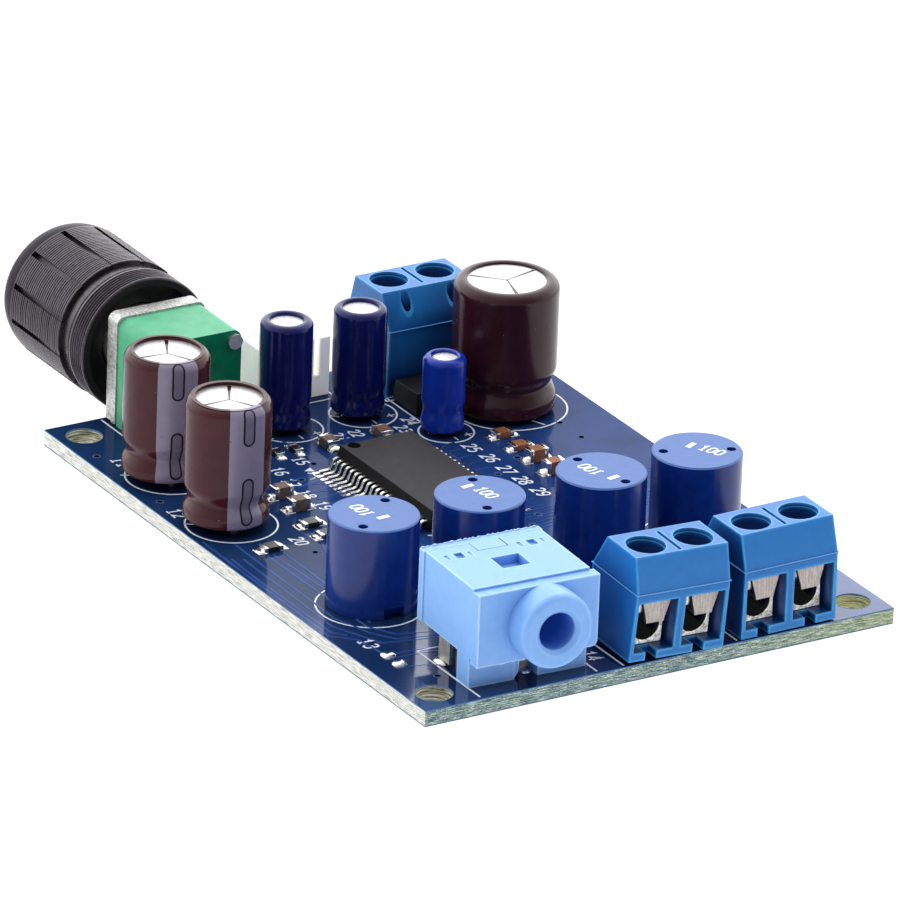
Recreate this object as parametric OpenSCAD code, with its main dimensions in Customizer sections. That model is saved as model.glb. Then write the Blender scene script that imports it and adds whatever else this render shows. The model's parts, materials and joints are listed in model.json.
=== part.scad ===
// Audio amplifier module: a bare circuit board with its volume control, input
// socket, screw terminals, inductors, capacitors and amplifier chip.
// The origin is the centre of the four mounting holes at the board's underside.
// The pieces are placed in board coordinates: x and y from the board's front
// left corner, z from its top face.

/* [Circuit board] */
// Width of the board, left to right
board_w = 50; // [49:1:60]
// Depth of the board, front to back
board_d = 70; // [70:1:70]
// Thickness of the board
board_t = 1.6; // [1.6:0.1:2.4]
// Diameter of the four mounting holes
mount_hole_d = 3.4; // [3:0.1:3.6]
// Distance between the mounting holes, left to right
mount_x = 44.7; // [44:0.1:45]
// Distance between the mounting holes, front to back
mount_y = 64.1; // [64:0.1:64.5]
// Length of the leads and pins under the board
lead_out = 1.5; // [1.3:0.1:3]

/* [Potentiometer and knob] */
// Diameter of the potentiometer shaft
shaft_d = 6; // [5:0.1:6]
// Radial clearance of the shaft in its bushing
shaft_clear = 0.05; // [0.02:0.01:0.1]
// Outer diameter of the fluted part of the knob
knob_d = 13.8; // [13.4:0.1:14.5]
// Number of slots around the knob
knob_slots = 12; // [6:1:16]
// Width of a slot
knob_slot_w = 0.55; // [0.4:0.05:0.8]
// Outer diameter of the bushing
bushing_d = 7; // [6.8:0.1:7.2]

/* [Screw terminals] */
// Width of a two-pole terminal
term_w = 10.16; // [10.16:0.01:10.3]
// Height of a terminal
term_h = 10.1; // [9.8:0.1:10.3]
// Distance between the two poles
term_pitch = 5.08; // [5.08:0.01:5.08]
// Diameter of the screw access bore at its mouth
access_d = 3.7; // [3.6:0.1:4]
// Diameter of the clamp screw's head
screw_head_d = 3.1; // [2.8:0.1:3.1]
// Diameter of the clamp screw's shank
screw_d = 2.5; // [2:0.1:2.5]
// Lean of the left front terminal to its right, in degrees
lean = 2.5; // [0:0.5:2.5]
// Tip of the left front terminal to the front, in degrees
tip = 2.5; // [0:0.5:2.5]

/* [Input socket] */
// Diameter of the socket's bore
socket_d = 3.6; // [3.5:0.05:3.7]
// Outer diameter of the socket's barrel
barrel_d = 7.28; // [6:0.1:7.5]
// Turn of the socket on the board, in degrees
socket_turn = -2.7; // [-3:0.1:0]

/* [Inductors] */
// Diameter of an inductor
coil_d = 8.5; // [8:0.1:9]
// Height of an inductor
coil_h = 8.85; // [6:0.05:10]

/* [Capacitors] */
// Height of the two brown capacitors
brown_h = 12.05; // [8:0.05:14]
// Height of the large capacitor
main_h = 12.9; // [8:0.1:14]
// Height of the two slim capacitors
blue_h = 10.5; // [8:0.1:12]
// Height of the small capacitor
small_h = 7.35; // [5:0.05:9]
// Thickness of the shrunk sleeve
sleeve_t = 0.15; // [0.1:0.01:0.2]

/* [Amplifier chip] */
// Width of the chip's moulded body
chip_w = 8.2; // [7.5:0.1:8.4]
// Length of the chip's moulded body
chip_l = 17.2; // [16.4:0.1:17.6]
// Leads on each side of the chip
chip_leads = 21; // [16:1:21]

/* [Hidden] */
$fn = 64;
e = 0.01;
floor_z = -board_t - lead_out;
shaft_r = shaft_d / 2;
access_r = access_d / 2;

// Potentiometer axis: x and z, running along y
pot_x = 10.95;
pot_z = 6.4;

// Terminal pole: positions along x in the terminal's own frame, and its depth
pole_x = [2.54, 2.54 + term_pitch];
pole_y = 3.15;
pin_y = 3.85;

// Capacitors: x, y, sleeve diameter, height, bare disc radius, sleeve lip over
// the disc, stand-off, lead pitch, lead radius
brown_caps = [[4.73, 55.60, 8.10, brown_h, 3.24, 0.42, 0.85, 3.5, 0.3],
              [4.51, 43.71, 8.10, brown_h, 3.32, 0.42, 0.85, 3.5, 0.3]];
main_caps = [[41.57, 55.50, 10.06, main_h, 3.75, 0.25, 0.40, 5, 0.3]];
blue_caps = [[20.41, 60.35, 5.04, blue_h, 1.60, 0.40, 0.70, 2, 0.25],
             [28.32, 60.08, 5.04, blue_h, 1.70, 0.40, 0.65, 2, 0.25]];
small_caps = [[33.42, 52.97, 4.14, small_h, 1.20, 0.35, 0.55, 1.5, 0.25]];
all_caps = concat(brown_caps, main_caps, blue_caps, small_caps);

// Inductors: x, y, angle of the two small holes in the top, angle of the notch
coils = [[7.70, 22.60, 41, -90], [18.65, 22.10, 71, -60],
         [31.40, 21.60, 102, -30], [41.80, 21.60, 158, 25]];
coil_pitch = 5;

// Chip parts: x, y of the front left corner, then size along x, y and z
caps_chip = [[37.00, 48.98, 2.0, 1.25, 0.6], [37.00, 45.78, 2.0, 1.25, 0.6],
             [37.00, 42.78, 2.0, 1.25, 1.25], [37.00, 39.68, 2.0, 1.25, 1.25],
             [11.20, 46.00, 2.0, 1.25, 1.2], [11.20, 42.88, 2.0, 1.25, 1.2],
             [21.50, 53.80, 1.25, 2.0, 0.9], [27.28, 53.70, 1.25, 2.0, 0.85]];
res_chip = [[10.40, 39.24, 2.0, 1.25, 0.5], [10.55, 36.44, 2.0, 1.25, 0.5],
            [4.32, 36.08, 2.0, 1.25, 0.5],
            [16.32, 54.52, 0.85, 1.6, 0.45], [18.36, 54.52, 0.85, 1.6, 0.45]];

// Socket pins in the socket's own frame: x, y, size along x, size along y
socket_pins = [[6.46, 1.80, 0.8, 0.4], [0.69, 6.36, 0.4, 1.0],
               [11.25, 6.36, 0.4, 1.0], [3.6, 8.30, 0.8, 0.4],
               [8.3, 8.30, 0.8, 0.4]];

// Potentiometer terminals: x, y; legs of its front plate: x, y
pot_pins = [for (x = [8.45, 10.95, 13.45]) for (y = [62.35, 67.35]) [x, y]];
pot_legs = [[7.0, 68.7], [15.1, 68.7]];
pot_rivet_xz = [[15.0, 9.8], [7.25, 9.8], [15.0, 1.0], [7.25, 1.0]];

// Header pins along x
header_y = 67.4;
header_x = [22.42, 24.42, 26.42];

mount_xy = [for (sx = [-1, 1]) for (sy = [-1, 1])
            [25 + sx * mount_x / 2, 35 + sy * mount_y / 2]];

// Round leads through the board: x, y, lead radius
round_leads = concat(
    [for (c = [for (i = [0, 1]) brown_caps[i]]) for (s = [-1, 1]) [c[0], c[1] + s * c[7] / 2, c[8]]],
    [for (c = concat(main_caps, blue_caps, small_caps)) for (s = [-1, 1]) [c[0] + s * c[7] / 2, c[1], c[8]]]);
coil_leads = [for (c = coils) for (s = [-1, 1]) [c[0] + s * coil_pitch / 2, c[1], 0.35]];

// Pins of the screw terminals, in board coordinates
term_pins = concat(
    [for (x = pole_x) [21.12 + x * cos(lean), -0.27 + pin_y + 0.009 * x]],
    [for (x = pole_x) [33.57 + x, 0.05 + pin_y]],
    [for (x = pole_x) [42.86 - x, 69.7 - pin_y]]);

// ---------- Frames ----------

// Board coordinates to the part's own frame
module on_board() translate([-25, -35, board_t]) children();

// The socket's own frame: x to the right along its face, y into it
module socket_frame() translate([5.88, 2.13, 0]) rotate([0, 0, socket_turn]) children();

// The three terminals' own frames: x along the face, y into it
module term_a_frame() translate([21.24, -0.35, term_w * sin(lean)]) rotate([tip, lean, 0.5]) children();
module term_b_frame() translate([33.55, 0.05, 0.04]) rotate([0, -0.6, 0]) children();
module term_p_frame() translate([42.86, 69.7, 0]) rotate([0, 0, 180]) children();

// A cylinder along +y from y0 to y1 on the potentiometer's axis
module pot_cyl(r, y0, y1) translate([pot_x, y0, pot_z]) rotate([-90, 0, 0]) cylinder(r = r, h = y1 - y0);

// A box given by its two corners
module box(a, b) translate(a) cube(b - a);

// An outline in y and z, extruded along x
module along_x(x0, x1) translate([x0, 0, 0]) rotate([90, 0, 90]) linear_extrude(x1 - x0) children();

// An outline in x and z, extruded along y
module along_y(y0, y1) translate([0, y1, 0]) rotate([90, 0, 0]) linear_extrude(y1 - y0) children();

// ---------- Board ----------

module circuit_board() {
    color("midnightblue") on_board() difference() {
        box([0, 0, -board_t], [board_w, board_d, 0]);
        for (p = mount_xy) translate([p[0], p[1], -board_t - 1]) cylinder(d = mount_hole_d, h = board_t + 2);
        for (p = round_leads) translate([p[0], p[1], -board_t - 1]) cylinder(r = p[2] + 0.15, h = board_t + 2, $fn = 32);
        for (p = coil_leads) translate([p[0], p[1], -board_t - 1]) cylinder(r = p[2] + 0.15, h = board_t + 2, $fn = 32);
        for (p = term_pins) translate([p[0], p[1], -board_t - 1]) cylinder(r = 0.8, h = board_t + 2, $fn = 32);
        for (p = pot_pins) translate([p[0], p[1], -board_t - 1]) cylinder(r = 0.6, h = board_t + 2, $fn = 32);
        for (p = pot_legs) translate([p[0], p[1], -board_t - 1]) cylinder(r = 0.7, h = board_t + 2, $fn = 32);
        for (x = header_x) translate([x, header_y, -board_t - 1]) cylinder(r = 0.45, h = board_t + 2, $fn = 32);
        socket_frame() for (p = socket_pins) translate([p[0], p[1], -board_t - 1]) cylinder(r = 0.65, h = board_t + 2, $fn = 32);
    }
}

// One solder cone under the board, at the origin
module solder_cone(r_pin, r_pad) translate([0, 0, -board_t - 1.1]) cylinder(r1 = r_pin, r2 = r_pad, h = 1.1, $fn = 32);

// The room that a terminal's two pins take in the solder
module pin_room() for (x = pole_x) box([x - 0.52, pin_y - 0.42, floor_z - 3], [x + 0.52, pin_y + 0.42, 1]);

module solder_fillets() {
    color("silver") on_board() {
        for (p = round_leads) translate([p[0], p[1], 0]) difference() {
            solder_cone(p[2] + 0.12, p[2] + 0.5);
            translate([0, 0, floor_z - 1]) cylinder(r = p[2], h = 4, $fn = 32);
        }
        for (p = coil_leads) translate([p[0], p[1], 0]) difference() {
            solder_cone(p[2] + 0.15, p[2] + 0.65);
            translate([0, 0, floor_z - 1]) cylinder(r = p[2], h = 4, $fn = 32);
        }
        difference() {
            for (p = term_pins) translate([p[0], p[1], 0]) solder_cone(0.8, 1.35);
            term_a_frame() pin_room();
            term_b_frame() pin_room();
            term_p_frame() pin_room();
        }
        for (p = pot_pins) translate([p[0], p[1], 0]) difference() {
            solder_cone(0.6, 1.0);
            box([-0.45, -0.15, floor_z - 1], [0.45, 0.15, 1]);
        }
        for (p = pot_legs) translate([p[0], p[1], 0]) difference() {
            solder_cone(0.7, 1.1);
            box([-0.4, -0.4, floor_z - 1], [0.4, 0.4, 1]);
        }
        for (x = header_x) translate([x, header_y, 0]) difference() {
            solder_cone(0.48, 0.85);
            box([-0.25, -0.25, floor_z - 1], [0.25, 0.25, 1]);
        }
        socket_frame() for (p = socket_pins) translate([p[0], p[1], 0]) difference() {
            solder_cone(0.65, 1.05);
            box([-p[2] / 2, -p[3] / 2, floor_z - 1], [p[2] / 2, p[3] / 2, 1]);
        }
    }
}

// ---------- Potentiometer ----------

module pot_bushing_plate() {
    color("gainsboro") on_board() difference() {
        union() {
            along_y(67.75, 69.45) union() {
                translate([6.3, 0.3]) square([9.5, 10]);
                translate([7.1, 10.3]) square([7.9, 0.8]);
                for (x = [7.1, 15.0]) translate([x, 10.3]) circle(r = 0.8);
            }
            pot_cyl(bushing_d / 2, 69.4, 74.45);
            for (p = pot_legs) box([p[0] - 0.4, p[1] - 0.4, floor_z], [p[0] + 0.4, p[1] + 0.4, 0.5]);
        }
        pot_cyl(shaft_r + shaft_clear, 67, 75);
        for (p = pot_rivet_xz) translate([p[0], 67, p[1]]) rotate([-90, 0, 0]) cylinder(r = 0.45, h = 3, $fn = 32);
    }
}

module pot_housing() {
    color("mediumseagreen") on_board() difference() {
        along_y(60.8, 67.75) union() {
            translate([6.45, 0]) square([9.35, 9.9]);
            translate([7.45, 9.8]) square([7.35, 1.1]);
            for (x = [7.45, 14.8]) translate([x, 9.9]) circle(r = 1);
        }
        pot_cyl(4, 61.8, 68);
        box([7.9, 61.8, -1], [14.0, 68, pot_z]);
        pot_cyl(1.26, 61.2, 62);
        for (p = pot_rivet_xz) translate([p[0], 60, p[1]]) rotate([-90, 0, 0]) cylinder(r = 0.45, h = 9, $fn = 32);
    }
}

module pot_rivets() {
    color("lightgray") on_board() for (p = pot_rivet_xz) translate([p[0], 0, p[1]]) rotate([-90, 0, 0]) {
        translate([0, 0, 60.45]) cylinder(r = 0.75, h = 0.35, $fn = 32);
        translate([0, 0, 60.6]) cylinder(r = 0.45, h = 9, $fn = 32);
        translate([0, 0, 69.45]) cylinder(r = 0.7, h = 0.25, $fn = 32);
    }
}

// One resistance wafer between y0 and y1
module track_wafer(y0, y1) difference() {
    union() {
        pot_cyl(3.8, y0, y1);
        box([8.05, y0, 1.0], [13.85, y1, pot_z]);
    }
    pot_cyl(2.2, y0 - 1, y1 + 1);
}

module pot_track_wafers() {
    color("saddlebrown") on_board() {
        track_wafer(62.5, 63.3);
        track_wafer(66.4, 67.2);
    }
}

module pot_terminals() {
    color("silver") on_board() for (p = pot_pins)
        box([p[0] - 0.45, p[1] - 0.15, floor_z], [p[0] + 0.45, p[1] + 0.15, 2.3]);
}

module pot_shaft() {
    color("lightgray") on_board() union() {
        pot_cyl(3.6, 67.35, 67.65);
        pot_cyl(shaft_r, 67.6, 83.5);
    }
}

module pot_rotor() {
    color("dimgray") on_board() union() {
        pot_cyl(1.2, 61.3, 62.2);
        pot_cyl(1.8, 62.1, 67.35);
        pot_cyl(3.7, 63.6, 64.6);
        pot_cyl(3.7, 65.1, 66.1);
    }
}

// A wiper ring with a gap, between y0 and y1
module wiper_ring(y0, y1) difference() {
    pot_cyl(3.5, y0, y1);
    pot_cyl(2.7, y0 - 1, y1 + 1);
    box([pot_x - 0.4, y0 - 1, pot_z], [pot_x + 0.4, y1 + 1, pot_z + 5]);
}

module pot_wipers() {
    color("gold") on_board() {
        wiper_ring(63.38, 63.6);
        wiper_ring(66.1, 66.32);
    }
}

// ---------- Knob ----------

module knob_shell() {
    r = knob_d / 2;
    color("darkslategray") on_board() difference() {
        translate([pot_x, 0, pot_z]) rotate([-90, 0, 0]) rotate_extrude($fn = 96)
            polygon([[6.0, 70.45], [r - 0.3, 70.45], [r - 0.1, 70.7], [r - 0.1, 73.0],
                     [r - 0.35, 73.6], [r - 0.35, 74.9], [r, 74.9], [r, 84.3],
                     [r - 0.12, 85.2], [r - 0.32, 86.0], [r - 0.7, 86.5],
                     [0, 86.5], [0, 84.8], [6.0, 84.8]]);
        for (i = [0 : knob_slots - 1]) translate([pot_x, 0, pot_z])
            rotate([0, -(12 + i * 360 / knob_slots), 0])
                box([r - 0.7, 74.8, -knob_slot_w / 2], [r + 1, 84.2, knob_slot_w / 2]);
    }
}

module knob_hub() {
    color("black") on_board() difference() {
        pot_cyl(6.0, 71.8, 84.8);
        pot_cyl(bushing_d / 2 + 0.4, 71, 75);
        pot_cyl(shaft_r, 74, 83.5);
    }
}

// ---------- Screw terminals ----------

// The moulded housing of a two-pole terminal, in its own frame
module terminal_housing() difference() {
    intersection() {
        along_x(0, term_w) polygon([[0.12, 0], [0, 6.75], [0.97, term_h], [5.85, term_h],
                                    [7.7, 6.75], [7.58, 0]]);
        along_y(-1, 9) polygon([[0, 0], [0.1, 6.75], [0.15, 10.4], [term_w - 0.15, 10.4],
                                [term_w - 0.1, 6.75], [term_w, 0]]);
    }
    for (x = pole_x) {
        // Access bore for the screw, a little wider at its mouth
        translate([x, pole_y, 6.2]) cylinder(r = access_r - 0.1, h = 10);
        translate([x, pole_y, term_h - 0.35]) cylinder(r = access_r, h = 1);
        // Wire entry, and the deeper room for the cage
        box([x - 2.12, -1, 0.82], [x + 2.12, 6.2, 5.8]);
        box([x - 1.85, 1.6, 0.82], [x + 1.85, 6.2, 6.4]);
        // Room above the entry for the leaf's turned-up end
        box([x - 1.85, 0.5, 5.7], [x + 1.85, 1.3, 7.05]);
        // Slot in the sill, and the hole for the pin
        box([x - 0.81, -1, -1], [x + 0.39, 1.5, 0.9]);
        box([x - 0.6, pin_y - 0.5, -1], [x + 0.6, pin_y + 0.5, 0.9]);
        // Pocket in the sloping back
        translate([x, 6.4, 7.4]) cylinder(r = 0.5, h = 4);
    }
    // Cleft between the two poles
    box([term_w / 2 - 0.15, 1.25, 9.2], [term_w / 2 + 0.15, 5.2, 11]);
}

module speaker_terminal_a_housing() { color("steelblue") on_board() term_a_frame() terminal_housing(); }
module speaker_terminal_b_housing() { color("steelblue") on_board() term_b_frame() terminal_housing(); }
module power_terminal_housing() { color("steelblue") on_board() term_p_frame() terminal_housing(); }

// One pole's cage: a bent strip with a U in front, a threaded plate on top and a pin
module wire_cage() difference() {
    union() {
        box([-1.78, 1.75, 0.87], [1.78, 2.25, 6.3]);
        box([-1.78, 5.6, 0.87], [1.78, 6.1, 6.3]);
        box([-1.78, 1.75, 0.87], [1.78, 6.1, 1.25]);
        box([-1.78, 1.75, 5.6], [1.78, 6.1, 6.3]);
        box([-0.5, pin_y - 0.4, floor_z], [0.5, pin_y + 0.4, 1]);
    }
    translate([0, 3, 2.65]) rotate([90, 0, 0]) cylinder(r = 1.45, h = 2);
    box([-1.45, 1, 2.65], [1.45, 2.6, 5.6]);
    translate([0, pole_y, 5]) cylinder(r = screw_d / 2 + 0.05, h = 2);
}

module terminal_wire_cages() {
    color("lightgray") on_board() {
        term_a_frame() for (x = pole_x) translate([x, 0, 0]) wire_cage();
        term_b_frame() for (x = pole_x) translate([x, 0, 0]) wire_cage();
        term_p_frame() for (x = pole_x) translate([x, 0, 0]) wire_cage();
    }
}

// One clamping leaf: a tongue through the cage's U and a turned-up flap in front
module clamp_leaf() union() {
    box([-0.93, 0.65, 3.4], [0.93, 5.2, 3.8]);
    along_y(0.65, 1.05) polygon([[-0.93, 3.4], [0.93, 3.4], [0.98, 3.75], [1.43, 5.3],
                                 [1.43, 5.95], [-1.43, 5.95], [-1.43, 5.3], [-0.98, 3.75]]);
}

// One clamp screw with a slotted head
module clamp_screw() difference() {
    union() {
        translate([0, pole_y, 3.82]) cylinder(d = screw_d, h = 3.4);
        translate([0, pole_y, 7.15]) cylinder(d = screw_head_d, h = 1.1);
    }
    box([-3, pole_y - 0.3, 7.65], [3, pole_y + 0.3, 9]);
}

module speaker_a_left_clamp_leaf() { color("lightgray") on_board() term_a_frame() translate([pole_x[0] + 0.22, 0, 0]) clamp_leaf(); }
module speaker_a_right_clamp_leaf() { color("lightgray") on_board() term_a_frame() translate([pole_x[1] + 0.32, 0, 0]) clamp_leaf(); }
module speaker_b_left_clamp_leaf() { color("lightgray") on_board() term_b_frame() translate([pole_x[0] + 0.2, 0, 0]) clamp_leaf(); }
module speaker_b_right_clamp_leaf() { color("lightgray") on_board() term_b_frame() translate([pole_x[1], 0, 0]) clamp_leaf(); }
module power_left_clamp_leaf() { color("lightgray") on_board() term_p_frame() translate([pole_x[1], 0, 0]) clamp_leaf(); }
module power_right_clamp_leaf() { color("lightgray") on_board() term_p_frame() translate([pole_x[0], 0, 0]) clamp_leaf(); }

module speaker_a_left_screw() { color("silver") on_board() term_a_frame() translate([pole_x[0], 0, 0]) clamp_screw(); }
module speaker_a_right_screw() { color("silver") on_board() term_a_frame() translate([pole_x[1], 0, 0]) clamp_screw(); }
module speaker_b_left_screw() { color("silver") on_board() term_b_frame() translate([pole_x[0], 0, 0]) clamp_screw(); }
module speaker_b_right_screw() { color("silver") on_board() term_b_frame() translate([pole_x[1], 0, 0]) clamp_screw(); }
module power_left_screw() { color("silver") on_board() term_p_frame() translate([pole_x[1], 0, 0]) clamp_screw(); }
module power_right_screw() { color("silver") on_board() term_p_frame() translate([pole_x[0], 0, 0]) clamp_screw(); }

// ---------- Input socket ----------

module jack_housing() {
    color("lightskyblue") on_board() socket_frame() difference() {
        union() {
            box([0, 0, 2.95], [11.92, 9.1, 9.93]);
            // Front flange, flush with the left side, with a rounded lower right corner
            along_y(-1.2, 0.05) union() {
                translate([0, 2.6]) square([11.75, 7.1]);
                translate([0, 3.2]) square([12.35, 6.5]);
                translate([11.75, 3.2]) circle(r = 0.6, $fn = 32);
            }
            // Front feet with a notch between them
            box([0, 0.3, 0], [4.75, 2.5, 3]);
            along_y(0.5, 2.5) polygon([[4.7, 0], [4.9, 0.06], [5.18, 0.5], [5.32, 1.2], [5.36, 3], [4.7, 3]]);
            box([7.15, 0.3, 0], [12.1, 2.35, 3]);
            // Rear foot
            box([10.0, 8.5, 0], [11.6, 9.1, 3]);
            // Barrel
            translate([6.7, 0, 6.1]) rotate([90, 0, 0]) {
                translate([0, 0, -0.1]) cylinder(d = barrel_d, h = 3.65, $fn = 96);
                rotate_extrude($fn = 96) polygon(concat([[0, 3.5]],
                    [for (t = [0:15:90]) [barrel_d / 2 - 0.6 + 0.6 * cos(t), 3.5 + 0.6 * sin(t)]], [[0, 4.1]]));
            }
        }
        // Bore with a rounded mouth
        translate([6.7, 2, 6.1]) rotate([90, 0, 0]) cylinder(d = socket_d, h = 8, $fn = 96);
        translate([6.7, -3.7, 6.1]) rotate([90, 0, 0]) cylinder(r1 = socket_d / 2, r2 = socket_d / 2 + 0.5, h = 0.45, $fn = 96);
        // Chamber for the springs, open at the back for the rear insert
        box([1.2, 1.5, 4.0], [10.72, 10, 8.7]);
        // Slots for the contact pins in the floor and the side walls
        box([5.9, 1.5, 2], [7.0, 2.2, 4.1]);
        box([0.4, 4.7, 2], [1.3, 6.9, 4.6]);
        box([10.6, 5.8, 2], [11.5, 6.9, 4.6]);
        box([3.1, 8.0, 2], [4.1, 10, 4.1]);
        box([7.8, 8.0, 2], [8.8, 10, 4.1]);
        // Seat of the rear insert's tongue
        box([4.42, 7.25, 9.3], [7.5, 9.2, 11]);
        // Square recess and the two rows of small recesses in the top
        box([4.66, 2.92, 9.0], [7.5, 5.4, 11]);
        for (x = [0.9, 8.35]) {
            box([x, 6.55, 9.4], [x + 0.4, 7.5, 11]);
            box([x + 1.05, 6.45, 9.2], [x + 1.9, 7.6, 11]);
            box([x + 2.4, 6.6, 9.4], [x + 2.7, 7.45, 11]);
        }
    }
}

module jack_rear_cover() {
    color("lightskyblue") on_board() socket_frame() difference() {
        union() {
            box([-0.15, 9.1, 2.95], [12.07, 9.95, 9.93]);
            box([4.5, 7.35, 9.3], [7.42, 9.2, 9.93]);
            box([2.2, 7.6, 4.5], [9.6, 9.2, 5.2]);
        }
        box([3.1, 8.0, 2], [4.1, 9.6, 5.3]);
        box([7.8, 8.0, 2], [8.8, 9.6, 5.3]);
        box([4.4, 7.0, 4.3], [7.5, 9.0, 8.6]);
    }
}

// A contact pin down to the lead length, from z1, by its entry in the pin list
module socket_pin(i, z1) box([socket_pins[i][0] - socket_pins[i][2] / 2, socket_pins[i][1] - socket_pins[i][3] / 2, floor_z],
                             [socket_pins[i][0] + socket_pins[i][2] / 2, socket_pins[i][1] + socket_pins[i][3] / 2, z1]);

module jack_sleeve_contact() {
    color("lightgray") on_board() socket_frame() union() {
        socket_pin(0, 4.3);
        box([6.06, 1.6, 4.05], [6.86, 4.6, 4.3]);
        along_x(6.06, 6.86) polygon([[2.6, 4.2], [3.1, 4.75], [3.5, 4.75], [4.0, 4.2]]);
    }
}

module jack_tip_spring() {
    color("lightgray") on_board() socket_frame() union() {
        socket_pin(1, 4.4);
        box([0.49, 4.8, 0.3], [0.89, 6.86, 4.2]);
        box([0.49, 5.86, 4.05], [2.1, 6.86, 4.4]);
        box([1.8, 5.86, 4.2], [2.1, 6.86, 7.4]);
        translate([0, 0, 5.4]) linear_extrude(1.6) polygon([[1.8, 5.9], [2.1, 5.9], [4.9, 7.0], [5.0, 7.3], [3.4, 7.5], [3.4, 7.2], [4.4, 7.1], [1.8, 6.2]]);
    }
}

module jack_ring_spring() {
    color("lightgray") on_board() socket_frame() union() {
        socket_pin(2, 4.4);
        box([9.8, 5.86, 4.05], [11.45, 6.86, 4.4]);
        box([9.8, 5.86, 4.2], [10.1, 6.86, 7.4]);
        translate([0, 0, 5.4]) linear_extrude(1.6) polygon([[10.1, 6.1], [9.8, 6.1], [8.1, 4.9], [7.9, 4.5], [9.0, 3.9], [9.1, 4.2], [8.4, 4.6], [10.1, 5.86]]);
    }
}

module jack_switch_contacts() {
    color("lightgray") on_board() socket_frame() for (i = [3, 4]) union() {
        socket_pin(i, 6.8);
        box([socket_pins[i][0] - 0.4, 8.1, 6.6], [socket_pins[i][0] + 0.4, 8.9, 6.8]);
    }
}

// ---------- Header ----------

module header_housing() {
    color("oldlace") on_board() difference() {
        box([20.5, 65.4, 0], [28.35, 69.9, 6]);
        box([21.1, 66.0, 1.4], [27.75, 69.3, 7]);
        box([26.6, 65, 2.2], [27.2, 66.5, 7]);
        box([21.6, 65, 2.2], [22.2, 66.5, 7]);
        for (x = header_x) box([x - 0.25, header_y - 0.25, -1], [x + 0.25, header_y + 0.25, 3]);
    }
}

module header_pins() {
    color("silver") on_board() for (x = header_x)
        box([x - 0.25, header_y - 0.25, floor_z], [x + 0.25, header_y + 0.25, 4.6]);
}

// ---------- Amplifier chip ----------

chip_x = 24.5;
chip_y = 41.85;

module amplifier_chip_body() {
    color("dimgray") on_board() intersection() {
        along_y(chip_y - chip_l / 2, chip_y + chip_l / 2) translate([chip_x, 0]) polygon([
            [-chip_w / 2 + 0.2, 0.1], [chip_w / 2 - 0.2, 0.1], [chip_w / 2, 1.05], [chip_w / 2, 1.2],
            [chip_w / 2 - 0.2, 2.2], [-chip_w / 2 + 0.2, 2.2], [-chip_w / 2, 1.2], [-chip_w / 2, 1.05]]);
        along_x(chip_x - 5, chip_x + 5) translate([chip_y, 0]) polygon([
            [-chip_l / 2 + 0.2, 0], [chip_l / 2 - 0.2, 0], [chip_l / 2, 1.05], [chip_l / 2, 1.2],
            [chip_l / 2 - 0.2, 2.3], [-chip_l / 2 + 0.2, 2.3], [-chip_l / 2, 1.2], [-chip_l / 2, 1.05]]);
    }
}

// One gull-wing lead on the +x side of the chip, centred on y = 0
module gull_lead() along_y(-0.15, 0.15) polygon([
    [chip_w / 2, 1.05], [chip_w / 2 + 0.85, 1.05], [chip_w / 2 + 1.2, 0.02], [chip_w / 2 + 2.25, 0.02],
    [chip_w / 2 + 2.25, 0.17], [chip_w / 2 + 1.31, 0.17], [chip_w / 2 + 0.97, 1.2], [chip_w / 2, 1.2]]);

module amplifier_chip_leads() {
    color("silver") on_board() for (i = [0 : chip_leads - 1]) translate([chip_x, chip_y + (i - (chip_leads - 1) / 2) * 0.8, 0]) {
        gull_lead();
        mirror([1, 0, 0]) gull_lead();
    }
}

// ---------- Small parts ----------

module diode_body() {
    color("dimgray") on_board() intersection() {
        along_x(33.0, 36.6) polygon([[57.05, 0.1], [57.0, 1.1], [57.2, 2.25], [61.2, 2.25], [61.4, 1.1], [61.35, 0.1]]);
        along_y(56, 62) polygon([[33.05, 0], [33.0, 1.1], [33.15, 2.3], [36.45, 2.3], [36.6, 1.1], [36.55, 0]]);
    }
}

module diode_tabs() {
    color("silver") on_board() {
        along_x(33.8, 35.8) polygon([[56.55, 0], [58.2, 0], [58.2, 0.1], [56.75, 0.1], [56.75, 1.0], [57.0, 1.0], [57.0, 1.15], [56.55, 1.15]]);
        along_x(33.8, 35.8) polygon([[61.85, 0], [60.2, 0], [60.2, 0.1], [61.65, 0.1], [61.65, 1.0], [61.4, 1.0], [61.4, 1.15], [61.85, 1.15]]);
    }
}

// The body of one chip part, its ends set back inside the metal caps
module chip_core(p) {
    lx = p[2] > p[3];
    t = 0.06;
    box([p[0] + t, p[1] + t, t], [p[0] + p[2] - t, p[1] + p[3] - t, p[4] - t]);
    if (lx) box([p[0] + 0.42, p[1], 0.02], [p[0] + p[2] - 0.42, p[1] + p[3], p[4]]);
    else box([p[0], p[1] + 0.4, 0.02], [p[0] + p[2], p[1] + p[3] - 0.4, p[4]]);
}

// The two metal ends of one chip part
module chip_ends(p) {
    lx = p[2] > p[3];
    difference() {
        box([p[0], p[1], 0], [p[0] + p[2], p[1] + p[3], p[4]]);
        box([p[0] + 0.06, p[1] + 0.06, 0.06], [p[0] + p[2] - 0.06, p[1] + p[3] - 0.06, p[4] - 0.06]);
        if (lx) box([p[0] + 0.42, p[1] - 1, -1], [p[0] + p[2] - 0.42, p[1] + p[3] + 1, 5]);
        else box([p[0] - 1, p[1] + 0.4, -1], [p[0] + p[2] + 1, p[1] + p[3] - 0.4, 5]);
    }
}

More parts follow.
